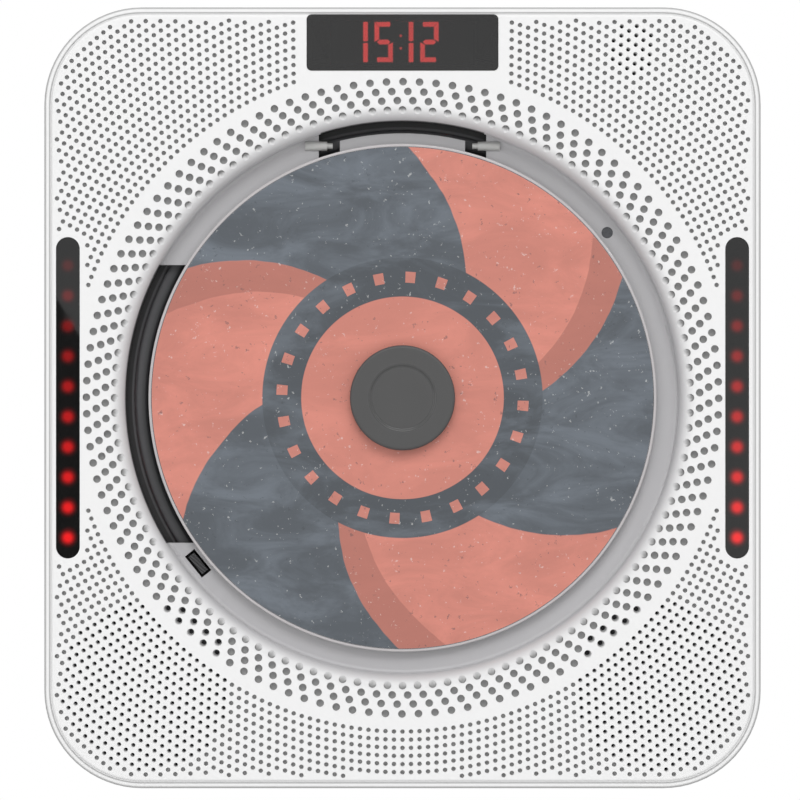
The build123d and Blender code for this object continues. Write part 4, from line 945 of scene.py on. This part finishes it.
def clamp_plastic(work, tint):
    """Soft dark grey moulding of the clamp, polished along the edge of its dish."""
    grain = work.noise(6200, 2.0, 0.6)
    slow = work.noise(120, 3.0)
    polish = work.radius.step(*POLISH_START) * (1 - work.radius.step(*POLISH_END))
    work.surface(
        work.shades(slow, tint, 0.94, 1.06), 0.55 + 0.08 * (grain - 0.5) - 0.42 * polish,
        grain * (1 - polish), 0.25, 0.00002)


def translucent(work, tint, gloss):
    """Unfilled moulding with a milky depth, for gears and pins."""
    slow = work.noise(260, 3.0)
    fine = work.noise(4200)
    work.surface(
        work.shades(slow, tint, 0.93, 1.03), gloss + 0.1 * fine, fine, 0.18, 0.00002,
        Subsurface_Weight=0.12, Subsurface_Radius=(0.001, 0.001, 0.0009), Subsurface_Scale=1.0)


def recipes():
    """Each finish by name: the function that makes it, and what it takes."""
    colours = bpy.context.scene.player_colours
    return {
        "white_plastic": (white_plastic, colours),
        "white_rim": (rim_plastic, colours.rim),
        "hole_shade_floor": (hole_shade_floor, colours.liner),
        "hole_cloth": (hole_cloth,),
        "black_plastic": (matt_black, colours.well),
        "deck_plastic": (deck_plastic, colours.well),
        "switch_knob": (knob_plastic, "switch_knob", colours.well),
        "cover_plunger": (knob_plastic, "cover_plunger", colours.well),
        "dark_window": (smoked, 38, 0.84),
        "level_window": (level_window, bpy.context.scene.player_display),
        "red_light": (red_light,),
        "lit_stroke": (lit_stroke, colours.lit),
        "pin_plastic": (translucent, screen(196, 196, 194), 0.3),
        "gear_plastic": (translucent, screen(236, 230, 214), 0.32),
        "circuit_board": (circuit_board,),
        "chip": (moulded, screen(46, 46, 48), 0.62, 7000, 0.5, 0.08),
        "plated_steel": (plated_steel,),
        "screw_steel": (turned_metal, screen(150, 152, 156), screen(196, 197, 200), 0.28, 1600),
        "ground_steel": (turned_metal, screen(206, 208, 211), screen(232, 233, 235), 0.12, 900, (0.05, 1, 1)),
        "brass": (turned_metal, screen(176, 140, 72), screen(214, 178, 104), 0.24, 1900),
        "sled_metal": (turned_metal, screen(150, 151, 154), screen(184, 185, 188), 0.42, 2400),
        "magnet": (magnet,),
        "rubber": (rubber, screen(34, 34, 35), 0.68),
        "soft_pad": (rubber, grey(150), 0.6),
        "paper_cone": (paper_cone,),
        "lens_plastic": (lens_plastic,),
        "clamp_plastic": (clamp_plastic, colours.clamp),
        "disc_print": (disc_print, colours),
        "disc_clear": (disc_clear,),
        "disc_mirror": (disc_mirror,),
    }


made = {}


def finish(name):
    """The material of that name, made when it is first asked for."""
    if name not in made:
        make, *details = recipes()[name]
        work = Finish(name)
        make(work, *details)
        made[name] = work.material
    return made[name]


class PLAYER_OT_finishes(bpy.types.Operator):
    """Gives every solid of the frame the finish of its material slot, or its own where it has one"""
    bl_idname = "player.finishes"
    bl_label = "Finishes"

    def execute(self, context):
        own = {"deck_plate": "deck_plastic", "switch_knob": "switch_knob", "cover_plunger": "cover_plunger",
               "level_window_left": "level_window", "level_window_right": "level_window"}
        for name, solid in node.items():
            for place in solid.material_slots:
                place.material = finish(own.get(name, place.material.name.split(".")[0]))
        return {"FINISHED"}


# --- disc and clamp

# In millimetres.
BORE_RADIUS, STACK_RADIUS, MIRROR_EDGE = 7.5, 22.5, 1.5  # silver from the stack radius to near the rim
CHAMFER, DISC_ROUNDING = 0.12, 0.3
FILM, PRINT_STEP = 0.015, 0.02  # how high the print stands on the disc, and how wide its edge is
RIDGE_FOOT, RIDGE_CREST = 0.5, 0.2  # half widths of the ridge
PRINTED, CLEAR, MIRROR = range(3)
CLAMP_HOLLOW_RADIUS, CLAMP_HOLLOW_BEVEL, CLAMP_BEVEL = 7.8, 0.15, 0.25
DISH_STEP, DISH_EDGE = 0.6, 0.12  # width of the dish's slope, and of the level edge round it
DISC_SIDES, CLAMP_SIDES = 256, 160


class PLAYER_OT_disc(bpy.types.Operator):
    """Makes the disc: printed face, clear hub and edge, and silvered underside"""
    bl_idname = "player.disc"
    bl_label = "Disc"

    def execute(self, context):
        sizes = context.scene.player_disc
        low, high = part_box("disc")
        front, rear, outer = low.y / MM, high.y / MM, high.x / MM
        print_in, print_out = sizes.print_inner / MM, sizes.print_outer / MM
        ridge, ridge_top = sizes.ridge_radius / MM, rear + sizes.ridge_height / MM
        face = front + FILM
        start = [[BORE_RADIUS, face + CHAMFER], [BORE_RADIUS + CHAMFER, face], [print_in, face]]
        profile = np.vstack([
            start,
            [[print_in + PRINT_STEP, front], [print_out, front], [print_out + PRINT_STEP, face]],
            arc(outer - DISC_ROUNDING, face + DISC_ROUNDING, DISC_ROUNDING, -90, 0, 6),
            arc(outer - DISC_ROUNDING, rear - DISC_ROUNDING, DISC_ROUNDING, 0, 90, 6),
            [[outer - MIRROR_EDGE, rear], [STACK_RADIUS, rear], [ridge + RIDGE_FOOT, rear]],
            [[ridge + RIDGE_CREST, ridge_top], [ridge - RIDGE_CREST, ridge_top],
             [ridge - RIDGE_FOOT, rear]],
            [[BORE_RADIUS + CHAMFER, rear], [BORE_RADIUS, rear - CHAMFER]],
        ])
        points, faces = carried_round(profile, DISC_SIDES)
        row = np.repeat(np.arange(len(profile)), 2 * DISC_SIDES)
        radius, height = ((profile + np.roll(profile, -1, 0)) / 2)[row].T
        silvered = (height >= rear) & (radius > STACK_RADIUS) & (radius < outer - MIRROR_EDGE)
        places = np.select([silvered, row == len(start)], [MIRROR, PRINTED], CLEAR)
        piece = make_piece("printed_disc", points, faces, "disc",
                           ["disc_print", "disc_clear", "disc_mirror"], places)
        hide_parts("disc")
        return {"FINISHED"}


class PLAYER_OT_clamp(bpy.types.Operator):
    """Makes the round clamp: soft shoulder, shallow dish, and a hollow with the magnet's seat"""
    bl_idname = "player.clamp"
    bl_label = "Disc clamp"

    def execute(self, context):
        sizes = context.scene.player_disc
        low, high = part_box("disc_clamp")
        magnet_low, magnet_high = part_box("clamp_magnet")
        front, rear = low.y / MM, high.y / MM
        radius, shoulder = sizes.clamp_radius / MM, sizes.clamp_rounding / MM
        dish, depth = sizes.dish_radius / MM, sizes.dish_depth / MM
        seat, seat_front, hollow = magnet_high.x / MM, magnet_low.y / MM, magnet_high.y / MM
        t = np.linspace(0, 1, 9)
        profile = np.vstack([
            [[0, front + depth]],
            np.stack([dish - DISH_STEP * (1 - t), front + depth * (1 - t * t * (3 - 2 * t))], -1),
            [[dish + DISH_EDGE, front]],
            arc(radius - shoulder, front + shoulder, shoulder, -90, 0, 12),
            [[radius, rear - CLAMP_BEVEL], [radius - CLAMP_BEVEL, rear],
             [CLAMP_HOLLOW_RADIUS + CLAMP_HOLLOW_BEVEL, rear],
             [CLAMP_HOLLOW_RADIUS, rear - CLAMP_HOLLOW_BEVEL], [CLAMP_HOLLOW_RADIUS, hollow]],
            [[seat, hollow], [seat, seat_front], [0, seat_front]],
        ])
        points, faces = carried_round(profile, CLAMP_SIDES)
        piece = make_piece("clamp_puck", points, faces, "clamp", ["clamp_plastic"])
        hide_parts("disc_clamp")
        return {"FINISHED"}


# --- clock

MITRE, SLANT, POINTED, SQUARE = range(4)  # how a lit bar's end is cut
# In millimetres.
END_GAP, ONE_GAP, BAR_BACK, CLOCK_RISE = 0.05, 0.16, 0.08, 0.2
DIGIT_PLACES = (-8.72, -4.44, 2.02, 6.35)  # x of a full digit's middle, or of a one's strokes
COLON_X, COLON_CROWN, COLON_ACROSS, COLON_SIDES = -0.4, 0.18, 0.82, 20
IN_FRONT = 0.06  # from the display's own segments forward to the bars' level


def clock_bars(sizes, middle):
    """Lit bars of the clock, 15:12: middle lines in (bars, 2 ends, 2), outward directions, and the cut
    of each end. A five is a two seen in a mirror."""
    high, wide, thick = sizes.digit_height / MM, sizes.digit_width / MM, sizes.stroke / MM
    side, level = (wide - thick) / 2, (high - thick) / 2
    one = [
        ((0, ONE_GAP), (0, level + thick / 2), (1, 0), (SQUARE, SQUARE)),
        ((0, -level - thick / 2), (0, -ONE_GAP), (1, 0), (SQUARE, SQUARE)),
    ]
    two = [
        ((side, level), (-side, level), (0, 1), (MITRE, SQUARE)),
        ((side, 0), (side, level), (1, 0), (SLANT, MITRE)),
        ((-side, 0), (side, 0), (0, 1), (POINTED, POINTED)),
        ((-side, -level), (-side, 0), (-1, 0), (MITRE, SLANT)),
        ((-side, -level), (side, -level), (0, -1), (MITRE, SQUARE)),
    ]
    digits = zip(DIGIT_PLACES, ((1, one), (-1, two), (1, one), (1, two)))
    ways, cuts = [], []
    for x, (mirror, bars) in digits:
        for *places, cut in bars:
            ways.append(np.array(places) * [mirror, 1] + [[x, middle], [x, middle], [0, 0]])
            cuts.append(cut)
    ways = np.array(ways, float)
    return ways[:, :2], ways[:, 2], np.array(cuts)


def crowned_bars(lines, outwards, cuts, thick, rise, level):
    """Lit bars with cut ends and a crowned front: along s and across v, from -1 inwards to 1 outwards,
    point = end + along (start(v) + s (finish(v) - start(v))) + outwards v thick / 2, where an end is
    END_GAP plus half the thickness times -v at a mitre, (1 - v) / 2 at a slant, |v| at a point and
    v^4 / 4 at a square end, and y = level - rise (1 - v^2); the rear is flat and the ends drop to it.
    Gives points, triangles and how far across each point is."""
    steps, across = 7, 9
    run = lines[:, 1] - lines[:, 0]
    size = np.hypot(*run.T)[:, None, None]
    along, outwards = (run / size[..., 0])[:, None, None], outwards[:, None, None]
    s = np.concatenate([[0], np.linspace(0, 1, steps - 2), [1]])[None, :, None]
    v = np.cos(np.linspace(0, np.pi, across))[None, None, :]
    cut = cuts[:, :, None, None]
    ends = [(MITRE, -v), (SLANT, (1 - v) / 2), (POINTED, np.abs(v)), (SQUARE, v**4 / 4)]
    inset = END_GAP + thick / 2 * np.select([cut == kind for kind, _ in ends], [shape for _, shape in ends])
    first, last = inset[:, 0], size - inset[:, 1]
    flat = lines[:, 0][:, None, None] + along * (first + s * (last - first))[..., None]
    flat = flat + outwards * (thick / 2 * v)[..., None]
    standing = np.ones((1, steps, 1))
    standing[0, [0, -1]] = 0
    front = raised(flat, level + BAR_BACK - (BAR_BACK + rise * (1 - v**2)) * standing)
    rear = front[:, :, ::-1][:, :, 1:-1].copy()
    rear[..., 1] = level + BAR_BACK
    tube = np.concatenate([front, rear], 2)
    width = np.concatenate([np.abs(v) + 0 * s, np.ones((1, steps, across - 2))], 2) + 0 * size
    offset = np.arange(len(lines))[:, None, None] * steps * tube.shape[2]
    faces = grid_faces(steps, tube.shape[2])[None] + offset
    return tube.reshape(-1, 3), faces.reshape(-1, 3), width.reshape(-1)


class PLAYER_OT_clock(bpy.types.Operator):
    """Makes the lit bars and colon of the clock behind its window"""
    bl_idname = "player.clock"
    bl_label = "Clock"

    def execute(self, context):
        sizes = context.scene.player_display
        window_low, window_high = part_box("display_window")
        middle = (window_low.z + window_high.z) / 2 / MM + CLOCK_RISE
        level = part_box("display_segments")[0].y / MM - IN_FRONT
        bars = clock_bars(sizes, middle)
        points, faces, across = crowned_bars(*bars, sizes.stroke / MM, sizes.stroke_rise / MM, level)
        colon = sizes.colon_radius / MM
        radius = np.linspace(0, 1, 5)
        cap = np.vstack([
            np.stack([radius * colon, level - COLON_CROWN * (1 - radius**2)], -1),
            [[colon, level + BAR_BACK], [0, level + BAR_BACK]],
        ])
        dot, dot_faces = carried_round(cap, COLON_SIDES)
        dot_across = np.clip(np.hypot(dot[:, 0], dot[:, 2]) / colon, COLON_ACROSS, 1)
        for side in (-0.5, 0.5):
            faces = np.vstack([faces, dot_faces + len(points)])
            points = np.vstack([points, dot + [COLON_X, 0, middle + side * sizes.colon_spacing / MM]])
            across = np.concatenate([across, dot_across])
        piece = make_piece("clock_digits", points, faces, "case", ["lit_stroke"])
        # The merged mesh has an order of its own, so each vertex takes the value of the nearest point.
        mesh = piece.data
        place = np.empty(len(mesh.vertices) * 3, np.float32)
        mesh.vertices.foreach_get("co", place)
        away = ((place.reshape(-1, 1, 3) / MM - points[None]) ** 2).sum(-1)
        value = across[away.argmin(1)].astype(np.float32)
        mesh.attributes.new("across", "FLOAT", "POINT").data.foreach_set("value", value)
        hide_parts("display_segments")
        return {"FINISHED"}


# --- stage

# In metres.
LAMP_TARGET = (0, -0.04, 0)
LAMPS = {  # place, width, height and power
    "key_lamp": ((0.16, -2.0, 1.84), 1.76, 1.44, 30.5),
    "fill_lamp": ((-1.2, -1.3, 0.2), 0.9, 0.9, 3.0),
    "side_lamp": ((1.3, -1.2, 0.9), 0.16, 0.16, 2.2),
}
FLOOR_HALF_SIDE, FLOOR_SQUARES, FLOOR_SHIFT, FLOOR_DROP = 1.6, 8, -0.3, 0.3
CARD_CORNERS = ((-0.19, 0.0927), (-0.13, -0.0057), (-0.13, -0.13), (-0.19, -0.13))  # x and z
CAMERA_DISTANCE, CAMERA_SENSOR, CAMERA_REACH = 1.5, 36.0, 50.0
RENDER_PIXELS, PIXELS_PER_MM = 800, 4.247
AXIS_PIXEL_X, AXIS_PIXEL_Y = 402.5, 397.8  # where the disc's axis stands in the render


def soft_lamp(name, place, wide, high, power):
    """A rectangular soft lamp that looks at the player."""
    lamp = bpy.data.lights.new(name, "AREA")
    lamp.shape, lamp.size, lamp.size_y, lamp.energy = "RECTANGLE", wide, high, power
    thing = bpy.data.objects.new(name, lamp)
    thing.location = place
    thing.rotation_euler = (Vector(LAMP_TARGET) - thing.location).to_track_quat("-Z", "Y").to_euler()
    bpy.context.scene.collection.objects.link(thing)


def stage_piece(name, points, faces, size, dark, light, rough):
    """A matt piece of the stage, speckled between two greys."""
    cover = Finish(name)
    fine = cover.noise(size)
    cover.set(Base_Color=cover.mix(fine, (dark,) * 3, (light,) * 3), Roughness=rough + 0.1 * fine)
    mesh = bpy.data.meshes.new(name)
    mesh.from_pydata(points, [], faces)
    mesh.materials.append(cover.material)
    thing = bpy.data.objects.new(name, mesh)
    bpy.context.scene.collection.objects.link(thing)
    return thing


def pale_floor(low):
    """The floor, below the player."""
    steps = np.linspace(-1.0, 1.0, FLOOR_SQUARES + 1) * FLOOR_HALF_SIDE
    x, y = np.meshgrid(steps, steps, indexing="ij")
    points = np.stack([x, y + FLOOR_SHIFT, np.full_like(x, low.z - FLOOR_DROP)], -1).reshape(-1, 3)
    squares = np.arange(FLOOR_SQUARES)
    row = squares[:, None] * (FLOOR_SQUARES + 1) + squares
    quads = np.stack([row, row + FLOOR_SQUARES + 1, row + FLOOR_SQUARES + 2, row + 1], -1).reshape(-1, 4)
    stage_piece("stage_floor", points.tolist(), quads.tolist(), 40, 0.88, 0.92, 0.7)


def dark_card(low):
    """The card that only mirrors see, beside the camera."""
    points = [(x, low.y - CAMERA_DISTANCE, z) for x, z in CARD_CORNERS]
    card = stage_piece("dark_card", points, [(0, 1, 2, 3)], 60, 0.004, 0.008, 0.8)
    card.visible_camera = card.visible_diffuse = card.visible_shadow = False
    card.visible_transmission = card.visible_volume_scatter = False


def surroundings():
    """White surroundings: plain to the camera, to mirrors and through glass, and dimmer for the
    light they give, which grows a little with height."""
    world = bpy.data.worlds.new("surroundings")
    world.use_nodes = True
    nodes = Nodes(world.node_tree)
    height = nodes.split(nodes.add("ShaderNodeTexCoord", output="Generated"))[2]
    dim = nodes.add("ShaderNodeBackground", {}, {"Color": (1, 1, 1), "Strength": 0.14 * height + 0.43})
    bright = nodes.add("ShaderNodeBackground", {}, {"Color": (1, 1, 1), "Strength": 1.0})
    rays = ("Is Camera Ray", "Is Glossy Ray", "Is Transmission Ray")
    seen, mirrored, through = [nodes.add("ShaderNodeLightPath", output=ray) for ray in rays]
    shown = nodes.add("ShaderNodeMixShader", {}, (seen.above(mirrored).above(through), dim, bright))
    nodes.add("ShaderNodeOutputWorld", {}, (shown,))
    bpy.context.scene.world = world


def front_camera(low):
    """The camera, straight in front, with the disc's axis at its pixel."""
    scale = PIXELS_PER_MM / MM
    camera = bpy.data.cameras.new("camera")
    camera.sensor_width = CAMERA_SENSOR
    camera.lens = CAMERA_SENSOR * CAMERA_DISTANCE * scale / RENDER_PIXELS
    camera.clip_end = CAMERA_REACH
    thing = bpy.data.objects.new("camera", camera)
    middle = RENDER_PIXELS / 2
    aside, up = (middle - AXIS_PIXEL_X) / scale, (AXIS_PIXEL_Y - middle) / scale
    thing.location = (aside, low.y - CAMERA_DISTANCE, up)
    thing.rotation_euler = (np.pi / 2, 0, 0)
    bpy.context.scene.collection.objects.link(thing)
    bpy.context.scene.camera = thing


class PLAYER_OT_stage(bpy.types.Operator):
    """Sets the pale floor, the lamps, the white surroundings and the camera"""
    bl_idname = "player.stage"
    bl_label = "Stage"

    def execute(self, context):
        low = cad_bounds[0]
        pale_floor(low)
        for name, (place, wide, high, power) in LAMPS.items():
            soft_lamp(name, place, wide, high, power)
        dark_card(low)
        surroundings()
        front_camera(low)
        context.scene.view_settings.view_transform = "Standard"
        return {"FINISHED"}


# --- panel and run

STEPS = ("finishes", "front_face", "disc", "clamp", "clock", "stage")


class PLAYER_PT_panel(bpy.types.Panel):
    """Lists the player's pieces"""
    bl_idname = "PLAYER_PT_panel"
    bl_label = "Wall mounted cd player"
    bl_space_type = "VIEW_3D"
    bl_region_type = "UI"
    bl_category = "Player"

    def draw(self, context):
        scene = context.scene
        for step in STEPS:
            self.layout.operator("player." + step)
        for key in GROUPS:
            group, box = getattr(scene, key), self.layout.box()
            for name in group.bl_rna.properties.keys():
                if name not in ("rna_type", "name"):
                    box.prop(group, name)


CLASSES = (
    PerforationSizes, DiscSizes, DisplaySizes, PlayerColours, PLAYER_OT_finishes, PLAYER_OT_front_face,
    PLAYER_OT_disc, PLAYER_OT_clamp, PLAYER_OT_clock, PLAYER_OT_stage, PLAYER_PT_panel,
)
GROUPS = {
    "player_perforation": PerforationSizes, "player_disc": DiscSizes,
    "player_display": DisplaySizes, "player_colours": PlayerColours,
}


def register():
    for kind in CLASSES:
        bpy.utils.register_class(kind)
    for name, kind in GROUPS.items():
        setattr(bpy.types.Scene, name, bpy.props.PointerProperty(type=kind))


def unregister():
    for name in GROUPS:
        delattr(bpy.types.Scene, name)
    for kind in reversed(CLASSES):
        bpy.utils.unregister_class(kind)


def main():
    register()
    for step in STEPS:
        getattr(bpy.ops.player, step)()


if __name__ == "__main__":
    main()
